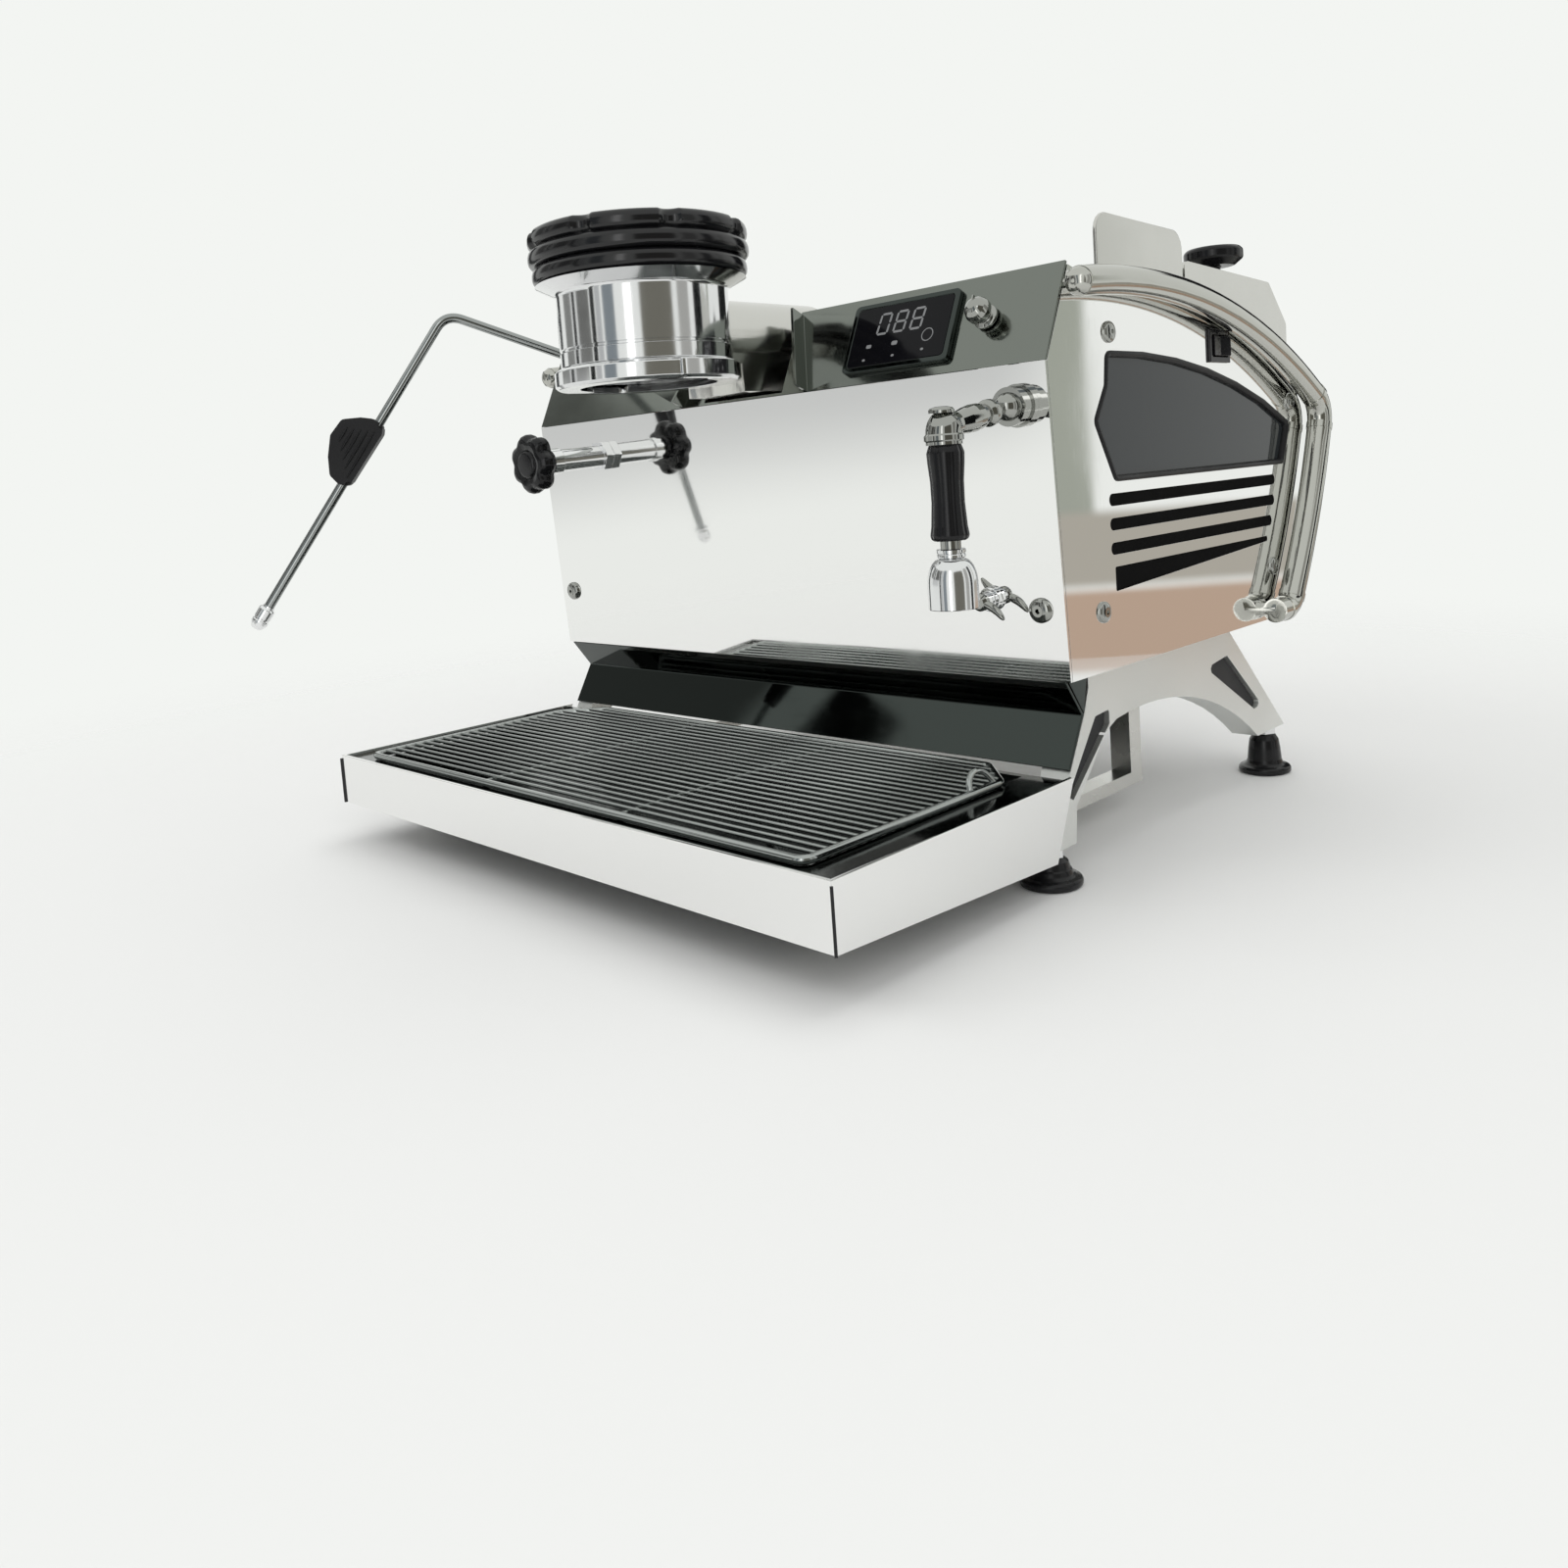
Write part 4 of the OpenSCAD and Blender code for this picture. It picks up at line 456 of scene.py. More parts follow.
# first and last shade, metallic, lowest and highest roughness, scale of the grain,
# strength and depth of its bumps, specular level, stretch along X
grainedLooks = {
    "satin_alloy": ((0.72, 0.73, 0.71), (0.82, 0.83, 0.81), 1, 0.34, 0.5, 700, 0.12, 0.0004),
    # black for the strips in the tray's front corner folds: painted shade
    "inlay_black": (
        (0.012, 0.012, 0.013), (0.03, 0.03, 0.032), 0, 0.4, 0.6, 1400, 0.2, 0.0002, 0.25),
    # black for the plates in the side slots: painted shade
    "slot_black": (
        (0.003, 0.003, 0.003), (0.006, 0.006, 0.006), 0, 0.7, 0.9, 900, 0.05, 0.0002, 0.05),
    "black_plastic": (
        (0.005, 0.005, 0.006), (0.011, 0.011, 0.012), 0, 0.12, 0.26, 1500, 0.04, 0.0002, 0.3),
    "rubber": (
        (0.006, 0.006, 0.007), (0.016, 0.016, 0.017), 0, 0.34, 0.55, 2200, 0.15, 0.0002, 0.25),
    "foot_rubber": (
        (0.006, 0.006, 0.007), (0.014, 0.014, 0.015), 0, 0.16, 0.32, 1600, 0.08, 0.0002, 0.3),
    "ring_gloss": ((0.005, 0.005, 0.006), (0.009, 0.009, 0.01), 0, 0.1, 0.2, 1500, 0.03, 0.0002),
    "display_glass": (
        (0.004, 0.004, 0.005), (0.007, 0.007, 0.009), 0, 0.05, 0.12, 500, 0.01, 0.0001, 0.12),
    "display_mark": (
        (0.24, 0.245, 0.25), (0.3, 0.305, 0.31), 0, 0.5, 0.7, 900, 0.01, 0.0001, 0.1),
    "brass": ((0.62, 0.45, 0.2), (0.75, 0.58, 0.3), 1, 0.2, 0.4, 500, 0.1, 0.0003),
    "copper": ((0.62, 0.3, 0.18), (0.8, 0.45, 0.3), 1, 0.22, 0.42, 400, 0.1, 0.0003),
    "boiler_steel": (
        (0.5, 0.5, 0.49), (0.64, 0.64, 0.62), 1, 0.26, 0.4, 60, 0.15, 0.0004, 0.5, 20),
    "plated_steel": ((0.6, 0.6, 0.58), (0.75, 0.74, 0.7), 1, 0.25, 0.42, 600, 0.08, 0.0003),
    "dark_paint": ((0.03, 0.032, 0.034), (0.05, 0.052, 0.054), 0, 0.4, 0.6, 900, 0.15, 0.0003),
    "board": ((0.01, 0.06, 0.03), (0.02, 0.1, 0.05), 0, 0.35, 0.5, 800, 0.1, 0.0002),
}
finishes = {"smoked_pane": smokedPane()}
for makeFinish, looks in ((polishedFinish, polishedLooks), (grainedFinish, grainedLooks)):
    for label, look in looks.items():
        finishes[label] = makeFinish(label.title().replace("_", ""), *look)
print("finishes made:", len(finishes))

# sheet, cast and turned parts with eased edges

easeSizes = {"flatAngle": 0.6, "sharpAngle": 28, "segments": 2}


def recordedFinish(node):
    return node.data.materials[0].name.split(".")[0]


def easedPiece(name, nodeName, finish, width, hard=True):
    # a copy of the CAD solid, joined up and with its edges eased, stands for the node
    node = frame["nodes"][nodeName]
    built = copyOfNode(nodeName)
    bmesh.ops.dissolve_limit(
        built, angle_limit=math.radians(easeSizes["flatAngle"]), use_dissolve_boundaries=False,
        verts=built.verts, edges=built.edges, delimit=set())
    mesh = meshFrom(name, built)
    shadeSmooth(mesh, easeSizes["sharpAngle"])
    carrier = newObject(name, mesh)
    easing = carrier.modifiers.new("EasedEdges", "BEVEL")
    easing.width = width
    easing.segments = easeSizes["segments"]
    easing.limit_method = "ANGLE"
    easing.angle_limit = math.radians(easeSizes["sharpAngle"])
    easing.harden_normals = hard
    easing.use_clamp_overlap = True
    addPiece(name, shapedMesh(carrier), finish, node["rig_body"], [nodeName])


# name, finish and width of each eased node; False keeps the plain shading of a round part
easedEdges = {
    "front_panel": ("FrontPanel", "polished_steel", 0.0005),
    "control_panel": ("ControlPanel", "smoked_steel", 0.0005),
    "backsplash": ("Backsplash", "black_steel", 0.0005),
    "frame_tube_right": ("FrameTubeRight", "tube_steel", 0.0003, False),
    "frame_tube_left": ("FrameTubeLeft", "tube_steel", 0.0003, False),
    "side_panel_right": ("SidePanelRight", "polished_steel", 0.0006),
    "side_panel_left": ("SidePanelLeft", "polished_steel", 0.0006),
    "top_deck": ("TopDeck", "polished_steel", 0.0004),
    "rear_panel": ("RearPanel", "polished_steel", 0.0004),
    "cup_rail": ("CupRail", "soft_steel", 0.0006),
    "hood_lid": ("HoodLid", "soft_steel", 0.0006),
    "leg_right": ("LegRight", "satin_alloy", 0.0012),
    "leg_left": ("LegLeft", "satin_alloy", 0.0012),
    "tray_shell": ("TrayShell", "polished_steel", 0.0009),
    "tray_pan": ("TrayPan", "tray_steel", 0.0004),
    "display_frame": ("DisplayFrame", "black_steel", 0.0005),
    "bayonet_ring": ("BayonetRing", "barrel_chrome", 0.0018, False),
    "group_neck": ("GroupNeck", "soft_steel", 0.0008),
    "steam_valve": ("SteamValve", "chrome", 0.0005, False),
    "bleed_cock": ("BleedCock", "chrome", 0.0004, False),
    "spout_socket": ("SpoutSocket", "dark_chrome", 0.0006, False),
    "wand_socket": ("WandSocket", "chrome", 0.0006, False),
    "rocker_bezel": ("RockerBezel", "black_plastic", 0.0004),
    "rocker": ("RockerButton", "black_plastic", 0.0004),
    "hood_knob": ("HoodKnob", "black_plastic", 0.0008, False),
}
for nodeName, (name, *easing) in easedEdges.items():
    easedPiece(name, nodeName, *easing)
print("eased pieces made:", len(easedEdges))

# the steam side: knob, wand, grip and tip

steamKnobSizes = {"lobes": 7, "valley": 0.0027, "core": 0.0085, "detail": 24, "round": 0.0006}
steamKnobAt = jointPlace("steam_knob_turn")
steamKnobLow, steamKnobHigh = nodeSpan("steam_knob", steamKnobAt, frontNormal)
steamKnobRadius = nodeSpan("steam_knob", steamKnobAt, Vector((1, 0, 0)))[1]


def steamKnobShape(radius, height, angle):
    core = steamKnobSizes["core"]
    share = min(max((radius - core) / (steamKnobRadius - core), 0), 1)
    dip = (0.5 - 0.5 * math.cos(steamKnobSizes["lobes"] * angle)) ** 1.6
    return radius - steamKnobSizes["valley"] * dip * share


def steamKnob():
    thick = steamKnobHigh - steamKnobLow
    rim = steamKnobRadius
    profile = [
        (0, 0), (0.0072, 0), (0.0078, 0.0006), (0.0082, 0.0018), (0.0125, 0.0022),
        (rim - 0.0026, 0.0027), (rim - 0.001, 0.0038), (rim, 0.0062), (rim, thick - 0.0056),
        (rim - 0.0008, thick - 0.0034), (rim - 0.0026, thick - 0.0016),
        (rim - 0.0052, thick - 0.0008), (0.0098, thick - 0.0014), (0.0088, thick - 0.002),
        (0.0084, thick - 0.0012), (0.0076, thick - 0.0003), (0.0066, thick), (0, thick),
    ]
    built = bmesh.new()
    turned(built, fillet(profile, steamKnobSizes["round"], steps=2, closed=False),
           steamKnobSizes["lobes"] * steamKnobSizes["detail"], steamKnobShape)
    finishMesh("SteamKnob", built, "black_plastic", "steam_knob", ["steam_knob"],
               sharp=38, place=facing(steamKnobAt + steamKnobLow * frontNormal, frontNormal))


steamKnob()

wandSizes = {
    "radius": 0.003, "sides": 28, "ball": 0.008, "bend": (-0.04, -0.083, 0.036),
    "tip": (-0.12, -0.188, -0.15), "bendRadius": 0.014, "bendSteps": 14, "tipLength": 0.016,
    "collar": 0.0045, "collarFrom": 0.0075, "collarTo": 0.0145, "collarEdge": 0.0006,
}
wandRoot = jointPlace("wand_tilt")
wandBend = wandRoot + Vector(wandSizes["bend"])
wandEnd = wandRoot + Vector(wandSizes["tip"])
wandDown = (wandEnd - wandBend).normalized()


def steamWand():
    size = wandSizes
    built = bmesh.new()
    turned(built, ballProfile(size["ball"]), segments=48, place=along(wandRoot, wandBend))
    collar, edge, low, high = pick(size, "collar", "collarEdge", "collarFrom", "collarTo")
    turned(built, [(0, low), (collar - edge, low), (collar, low + edge), (collar, high - 0.001),
                   (size["radius"], high), (0, high)], segments=6, place=along(wandRoot, wandBend))
    tipStart = wandEnd - wandDown * size["tipLength"]
    path = fillet([tuple(wandRoot), tuple(wandBend), tuple(tipStart)],
                  size["bendRadius"], size["bendSteps"], closed=False)
    tube(built, path, size["radius"], size["sides"])
    finishMesh("SteamWand", built, "wand_steel", "steam_wand", ["steam_wand"])


steamWand()

gripSizes = {
    "outline": [(0.0042, 0.0005), (0.0105, 0.0035), (0.0195, 0.0105), (0.0205, 0.0225),
                (0.015, 0.035), (0.0085, 0.0445), (0.0015, 0.0465), (-0.0048, 0.0445),
                (-0.0056, 0.006), (-0.003, 0.0005)],
    "length": 0.0465, "round": 0.004, "half": 0.0046, "edge": 0.002,
    "ribs": 5, "ribSteps": 10, "ribRadius": 0.0009, "ribSunk": 0.0001,
    # across, start and stop of the first rib, and what each next one adds to them
    "firstRib": (-0.001, 0.0065, 0.04), "nextRib": (0.0038, 0.0016, -0.0042),
}


def wandGrip():
    size = gripSizes
    built = bmesh.new()
    low, high = nodeSpan("wand_grip", wandBend, wandDown)
    scale = (high - low) / size["length"]
    outline = fillet([(out, down * scale) for out, down in size["outline"]],
                     size["round"], steps=6)
    plate(built, outline, -size["half"], size["half"], size["edge"], segments=5)
    # ribs that run down the fin, parallel to the wand
    shares = [step / size["ribSteps"] for step in range(size["ribSteps"] + 1)]
    swell = [size["ribRadius"] * math.sin(math.pi * min(max(share, 0.03), 0.97)) ** 0.4
             for share in shares]
    for index in range(size["ribs"]):
        across, start, stop = (
            first + more * index for first, more in zip(size["firstRib"], size["nextRib"]))
        for face in (-1, 1):
            depth = face * (size["half"] - size["ribSunk"])
            tube(built, [(across, start + (stop - start) * share, depth) for share in shares],
                 swell, sides=10)
    # the fin stands on the side of the wand away from the machine
    points = nodePoints("wand_grip")
    lean = sum(points, Vector()) / len(points) - wandBend
    across = -(lean - wandDown * lean.dot(wandDown)).normalized()
    finishMesh("WandGrip", built, "rubber", "steam_wand", ["wand_grip"],
               place=axesAt(wandBend + wandDown * low, across, wandDown, across.cross(wandDown)))


wandGrip()

tipSizes = {"foot": 0.0036, "radius": 0.005, "waist": 0.0045, "nose": 0.0032}


def wandTip():
    foot, radius, waist, nose = pick(tipSizes, "foot", "radius", "waist", "nose")
    low, high = nodeSpan("wand_tip", wandBend, wandDown)
    tall = high - low
    profile = [
        (0, 0), (foot, 0), (foot, 0.0012), (radius - 0.0004, 0.002), (radius, 0.0026),
        (radius, 0.0084), (waist, 0.0089), (waist, 0.0098), (radius, 0.0103),
        (radius, tall - 0.0036), (nose, tall - 0.0004), (nose - 0.0006, tall), (0, tall),
    ]
    built = bmesh.new()
    turned(built, profile, segments=48, place=along(wandBend + wandDown * low, wandEnd))
    finishMesh("WandTip", built, "chrome", "steam_wand", ["wand_tip"], sharp=30)


wandTip()
print("steam parts made")

# the group: a turned barrel that widens under the brew ring

barrelSizes = {
    "radius": 0.045, "foot": 0.001, "groove": (0.008, 0.0085, 0.0095, 0.01),
    "grooveDepth": 0.0006, "top": 0.038, "coneTop": 0.043, "cap": 0.05, "capEdge": 0.003,
    "round": 0.003, "segments": 160,
}


def groupBarrel():
    size = barrelSizes
    low, high = boxOf("group_body")
    radius, inside = size["radius"], size["radius"] - size["grooveDepth"]
    cone, tall = roundSize(low, high)
    first, deep, deepEnd, last = size["groove"]
    neck = fillet([(radius, last + 0.001), (radius, size["top"]), (cone, size["coneTop"])],
                  size["round"], steps=6, closed=False)
    profile = [
        (0, 0), (radius - size["foot"], 0), (radius, size["foot"]), (radius, first),
        (inside, deep), (inside, deepEnd), (radius, last), *neck[:-1],
        (cone - 0.0004, size["coneTop"] - 0.0002), (cone, size["coneTop"]),
        (size["cap"], size["coneTop"]), (size["cap"], tall - size["capEdge"] * 2 / 3),
        (size["cap"] - size["capEdge"], tall), (0, tall),
    ]
    built = bmesh.new()
    turned(built, profile, size["segments"], place=Matrix.Translation(baseOf(low, high)))
    finishMesh("GroupBarrel", built, "barrel_chrome", "chassis",
               ["group_body"], sharp=34)


groupBarrel()
print("group barrel made")

# the hot-water side: arm, elbow, sleeve, bell and bleed lever

spoutSizes = {
    "elbow": (0, -0.048, -0.008), "ball": 0.0065, "pipe": 0.0045, "neck": 0.0031,
    "down": 0.052, "sleeveEnd": 0.005, "swell": 0.0062, "round": 0.0012,
}
spoutBall = jointPlace("spout_turn")
spoutElbow = spoutBall + Vector(spoutSizes["elbow"])


def spoutArm():
    ball, neck, swell, pipe = pick(spoutSizes, "ball", "neck", "swell", "pipe")
    reach = Vector(spoutSizes["elbow"]).length
    built = bmesh.new()
    turned(built, ballProfile(ball), segments=48, place=along(spoutBall, spoutElbow))
    profile = [
        (0, 0.002), (neck, 0.002), (neck, 0.0105), (0.0048, 0.0118), (0.006, 0.013),
        (0.0062, 0.015), (0.0062, 0.0165), (0.0052, 0.0176), (0.0046, 0.0182),
        (0.005, 0.02), (swell - 0.0003, 0.024), (swell, 0.0285), (swell - 0.0004, 0.0335),
        (0.005, 0.0385), (pipe, 0.042), (pipe, reach), (0, reach),
    ]
    turned(built, fillet(profile, spoutSizes["round"], steps=3, closed=False), segments=56,
           place=along(spoutBall, spoutElbow))
    finishMesh("SpoutArm", built, "dark_chrome", "spout", ["spout_arm"], sharp=36)


spoutArm()

elbowSizes = {
    "from": 0.83, "start": 0.0052, "radius": 0.0079, "widenSteps": 5, "bend": 0.0068,
    "forward": 0.0005, "drop": 0.0075, "crownForward": 0.0012,
    "collarDrop": 0.0062, "crownSunk": 0.001,
    "collar": [(0, 0), (0.008, 0), (0.0086, 0.0006), (0.0086, 0.0026), (0.0078, 0.0034),
               (0, 0.0034)],
    "crown": [(0, -0.001), (0.0056, -0.001), (0.0056, 0.0004), (0.005, 0.0012),
              (0.003, 0.0018), (0, 0.002)],
}


def elbowPiece():
    size = elbowSizes
    middle = spoutElbow + Vector((0, -size["forward"], 0))
    path = fillet([tuple(spoutBall.lerp(spoutElbow, size["from"])), tuple(middle),
                   tuple(middle + Vector((0, 0, -size["drop"])))],
                  size["bend"], steps=12, closed=False)
    widen = size["radius"] - size["start"]
    built = bmesh.new()
    tube(built, path, [size["start"] + widen * min(1, step / size["widenSteps"])
                       for step in range(len(path))], sides=40)
    pipe, length = spoutSizes["pipe"], spoutSizes["down"] - spoutSizes["sleeveEnd"]
    for profile, segments, offset in (
            (size["collar"], 48, (0, -size["forward"], -size["collarDrop"])),
            (size["crown"], 40, (0, -size["crownForward"], size["radius"] - size["crownSunk"])),
            ([(0, 0), (pipe, 0), (pipe, length), (0, length)], 40, (0, 0, -spoutSizes["down"]))):
        turned(built, profile, segments, place=Matrix.Translation(spoutElbow + Vector(offset)))
    finishMesh("SpoutElbow", built, "dark_chrome", "spout", ["spout_arm"])


elbowPiece()

sleeveSizes = {"folds": 9, "fold": 0.00035, "clearance": 0.00005, "round": 0.0014}


def sleeveShape(radius, height, angle):
    share = 0.5 + 0.5 * math.cos(sleeveSizes["folds"] * angle)
    return radius - sleeveSizes["fold"] * share ** 3


def spoutSleeve():
    low, high = boxOf("spout_sleeve")
    radius, tall = roundSize(low, high)
    bore = spoutSizes["pipe"] + sleeveSizes["clearance"]
    outside = [
        (radius - 0.0016, 0), (radius - 0.0004, 0.0008), (radius, 0.0024),
        (radius - 0.0006, 0.006), (radius - 0.0013, tall * 0.38), (radius - 0.0012, tall * 0.6),
        (radius - 0.0005, tall * 0.78), (radius - 0.0003, tall * 0.88),
        (radius - 0.0016, tall * 0.965), (radius - 0.0034, tall),
    ]
    outside = fillet(outside, sleeveSizes["round"], steps=3, closed=False)
    built = bmesh.new()
    ringed(built, [(bore, 0), *outside, (bore, tall)], 144, sleeveShape,
           Matrix.Translation((spoutElbow.x, spoutElbow.y, low.z)))
    finishMesh("SpoutSleeve", built, "black_plastic", "spout", ["spout_sleeve"])


spoutSleeve()

bellSizes = {
    "collar": [(0, 0), (0.006, 0), (0.0064, -0.0004), (0.0064, -0.0017), (0.0058, -0.0021),
               (0.0062, -0.0026), (0.0062, -0.0036)],
    "shoulder": 0.0052, "domeFrom": -0.0042, "dome": 0.0115, "domeSteps": 10,
    "wall": 0.001, "hollowFrom": -0.0062, "hollow": 0.01, "hollowSteps": 8, "lip": 0.0003,
}


def quarter(steps):
    return [math.radians(90 * step / steps) for step in range(steps + 1)]


def spoutBell():
    size = bellSizes
    low, high = boxOf("spout_bell")
    radius, tall = roundSize(low, high)
    shoulder, wall, lip = pick(size, "shoulder", "wall", "lip")
    dome = [(shoulder + (radius - shoulder) * math.sin(angle),
             size["domeFrom"] - size["dome"] * (1 - math.cos(angle)))
            for angle in quarter(size["domeSteps"])]
    hollow = [((radius - wall) * math.sin(angle),
               size["hollowFrom"] - size["hollow"] * (1 - math.cos(angle)))
              for angle in reversed(quarter(size["hollowSteps"]))]
    mouth = [(radius, lip - tall), (radius - lip, -tall), (radius - 0.0008, -tall),
             (radius - wall, lip - tall)]
    built = bmesh.new()
    turned(built, size["collar"] + dome + mouth + hollow, segments=72,
           place=Matrix.Translation((spoutElbow.x, spoutElbow.y, high.z)))
    finishMesh("SpoutBell", built, "barrel_chrome", "spout", ["spout_bell"])


spoutBell()

leverSizes = {
    "half": 0.0152, "lean": 32, "stem": 0.002, "hub": 0.0044, "hubTall": 0.004, "steps": 24,
    "bend": 0.0016, "rise": 0.0017, "tipRise": 0.0004, "end": 0.0006, "thin": 0.001,
    "thick": 0.0011,
}


def bleedLever():
    size = leverSizes
    pivot = jointPlace("bleed_lever_turn")
    low, high = nodeSpan("bleed_lever", pivot, frontNormal)
    stem, hub, foot = size["stem"], size["hub"], high - size["hubTall"]
    built = bmesh.new()
    turned(built, [(0, low), (stem, low), (stem, foot), (hub - 0.0006, foot), (hub, foot + 0.0006),
                   (hub, high - 0.0016), (hub - 0.0014, high - 0.0002), (0, high)], segments=40)
    # two wings in one bar, thin at its ends and at the hub
    shares = [step / (size["steps"] / 2) - 1 for step in range(size["steps"] + 1)]
    path = [(share * size["half"], size["bend"] * math.sin(math.pi * share),
             foot + size["rise"] + size["tipRise"] * abs(share)) for share in shares]
    swell = [size["thin"] + size["thick"] * math.sin(math.pi * abs(share) ** 0.8)
             if abs(share) < 1 else size["end"] for share in shares]
    tube(built, path, swell, sides=20)
    finishMesh("BleedLever", built, "dark_chrome", "bleed_lever",
               ["bleed_lever"], place=facing(pivot, frontNormal) @ Matrix.Rotation(
                   math.radians(-size["lean"]), 4, "Z"))


bleedLever()
print("hot-water parts made")

# display and selector

controlPlace = facing(jointPlace("selector_turn"), controlNormal)
displaySizes = {
    "digit": (0.0066, 0.0112), "stroke": 0.00125, "step": 0.0108, "first": (-0.0118, 0.0062),
    "slant": 0.1, "lift": 0.00007, "gap": 0.35,
    "signs": [(-0.0185, -0.0058, 0.0017), (-0.0015, -0.0058, 0.0019)],
    "dots": [(-0.02, -0.0133, 0.001), (-0.001, -0.0128, 0.001), (0.0175, -0.0118, 0.001)],
    "ring": (0.019, -0.004, 0.0036, 0.0005),
    # the parts of a figure: place across and up in half figures, and whether it stands
    "parts": {"top": (0, 1, False), "middle": (0, 0, False), "bottom": (0, -1, False),
              "highLeft": (-1, 0.5, True), "highRight": (1, 0.5, True),
              "lowLeft": (-1, -0.5, True), "lowRight": (1, -0.5, True)},
    "unlit": [("middle",), (), ()],
}


def controlBox(nodeName):
    # the corners of a CAD node in the control panel's axes
    inverse = controlPlace.inverted()
    return boxAround([inverse @ point for point in nodePoints(nodeName)])


def displayMarks():
    # three seven-part figures, small key signs and a ring, laid on the glass
    size = displaySizes
    low, high = controlBox("display_glass")
    wide, tall = size["digit"]
    stroke, lift = size["stroke"], size["lift"]
    built = bmesh.new()

    def bar(x, y, length, upright):
        # one part of a figure: a flat bar with pointed ends
        half, thick = length / 2, stroke / 2
        outline = [(-half, 0), (-half + thick, -thick), (half - thick, -thick), (half, 0),
                   (half - thick, thick), (-half + thick, thick)]
        if upright:
            outline = [(-b, a) for a, b in outline]
        plate(built, [(x + a + size["slant"] * (y + b), y + b) for a, b in outline], -lift, lift)

    firstX, firstY = size["first"]
    for index, missing in enumerate(size["unlit"]):
        for part, (across, upward, upright) in size["parts"].items():
            if part not in missing:
                bar(firstX + index * size["step"] + across * wide / 2, firstY + upward * tall / 2,
                    (tall / 2 if upright else wide) - stroke * size["gap"], upright)
    for x, y, half in size["signs"]:
        flat = half * 0.6
        outline = [(x - half, y - flat), (x + half, y - flat), (x + half, y + flat),
                   (x - half, y + flat)]
        plate(built, fillet(outline, half * 0.5, steps=3), -lift, lift)
    for x, y, half in size["dots"]:
        angles = [math.pi * step / 8 for step in range(16)]
        outline = [(x + half * math.cos(angle), y + half * 0.7 * math.sin(angle))
                   for angle in angles]
        plate(built, outline, -lift, lift)
    x, y, radius, width = size["ring"]
    inside = radius - width
    ringed(built, [(inside, -lift), (radius, -lift), (radius, lift), (inside, lift)],
           segments=48, place=Matrix.Translation((x, y, 0)))
    middle = baseOf(low, high)
    middle.z = high.z
    finishMesh("DisplayMarks", built, "display_mark", "chassis", sharp=30,
               place=controlPlace @ Matrix.Translation(middle))


displayMarks()
easedPiece("DisplayGlass", "display_glass", "display_glass", 0.0003)

selectorSizes = {"stem": 0.003, "stemTop": 0.0008, "round": 0.0006, "pointer": 0.0004}


def selectorKnob():
    stem, stemTop, edge, half = pick(selectorSizes, "stem", "stemTop", "round", "pointer")
    low, high = controlBox("selector_knob")
    radius, face = high.x, high.z
    profile = [
        (0, low.z), (stem, low.z), (stem, stemTop), (radius - 0.0006, stemTop),
        (radius - 0.0002, 0.0012), (radius - 0.0002, 0.0026), (radius - 0.0022, 0.0034),
        (radius - 0.0026, 0.0044), (radius - 0.0012, 0.0056), (radius, 0.0072),
        (radius, 0.0096), (radius - 0.001, 0.012), (radius - 0.0026, face - 0.0012),
        (radius - 0.0042, face - 0.0003), (0, face),
    ]
    built = bmesh.new()
    turned(built, fillet(profile, edge, steps=2, closed=False), segments=72)
    # a pointer line across the knob's face
    start, stop = 0.001, radius - 0.0016
    plate(built, [(-half, start), (half, start), (half, stop), (-half, stop)],
          face - 0.0016, face - 0.0002)
    finishMesh("SelectorKnob", built, "dark_chrome", "selector_knob",
               ["selector_knob"], place=controlPlace)


selectorKnob()
print("controls made")

# repeated things: grate wires and screw heads, laid out with geometry nodes


def vectorOf(tree, **parts):
    return addNode(tree, "ShaderNodeCombineXYZ", parts)["Vector"]


def lay(tree, points, instance, finish, **inputs):
    # instances of one thing on points, made real and dressed, as the group's result
    laid = addNode(tree, "GeometryNodeInstanceOnPoints", {
        "Points": points, "Instance": instance, **inputs})
    real = addNode(tree, "GeometryNodeRealizeInstances", {"Geometry": laid["Instances"]})
    dressed = addNode(tree, "GeometryNodeSetMaterial", {
        "Geometry": real["Geometry"], "Material": finish})
    addNode(tree, "NodeGroupOutput", {"Geometry": dressed["Geometry"]})


def wireRowGroup():
    # a row of straight wires, the last ones cut back along a corner
    tree, given = newGroup("Geometry", "WireRow", {
        "Geometry": "Geometry", "Count": "Int", "Pitch": "Float", "Half Length": "Float",
        "Wire Radius": "Float", "Full Rows": "Float", "Finish": "Material",
    }, {"Geometry": "Geometry"})
    half, pitch = given["Half Length"], given["Pitch"]
    row = addNode(tree, "GeometryNodeMeshLine", {
        "Count": given["Count"], "Offset": vectorOf(tree, Y=pitch)}, mode="OFFSET")
    wire = addNode(tree, "GeometryNodeCurvePrimitiveLine", {
        "Start": vectorOf(tree, X=calculated(tree, "MULTIPLY", half, -1)),
        "End": vectorOf(tree, X=half)}, mode="POINTS")
    section = addNode(tree, "GeometryNodeCurvePrimitiveCircle", {
        "Resolution": 12, "Radius": given["Wire Radius"]}, mode="RADIUS")
    solid = addNode(tree, "GeometryNodeCurveToMesh", {
        "Curve": wire["Curve"], "Profile Curve": section["Curve"], "Fill Caps": True})
    index = addNode(tree, "GeometryNodeInputIndex")["Index"]
    beyond = calculated(tree, "SUBTRACT", index, given["Full Rows"])
    cut = calculated(tree, "MULTIPLY", calculated(tree, "MAXIMUM", beyond, 0), pitch)
    share = calculated(tree, "SUBTRACT", 1, calculated(tree, "DIVIDE", cut, half))
    lay(tree, row["Mesh"], solid["Mesh"], given["Finish"], Scale=vectorOf(tree, X=share, Y=1, Z=1))
    return tree


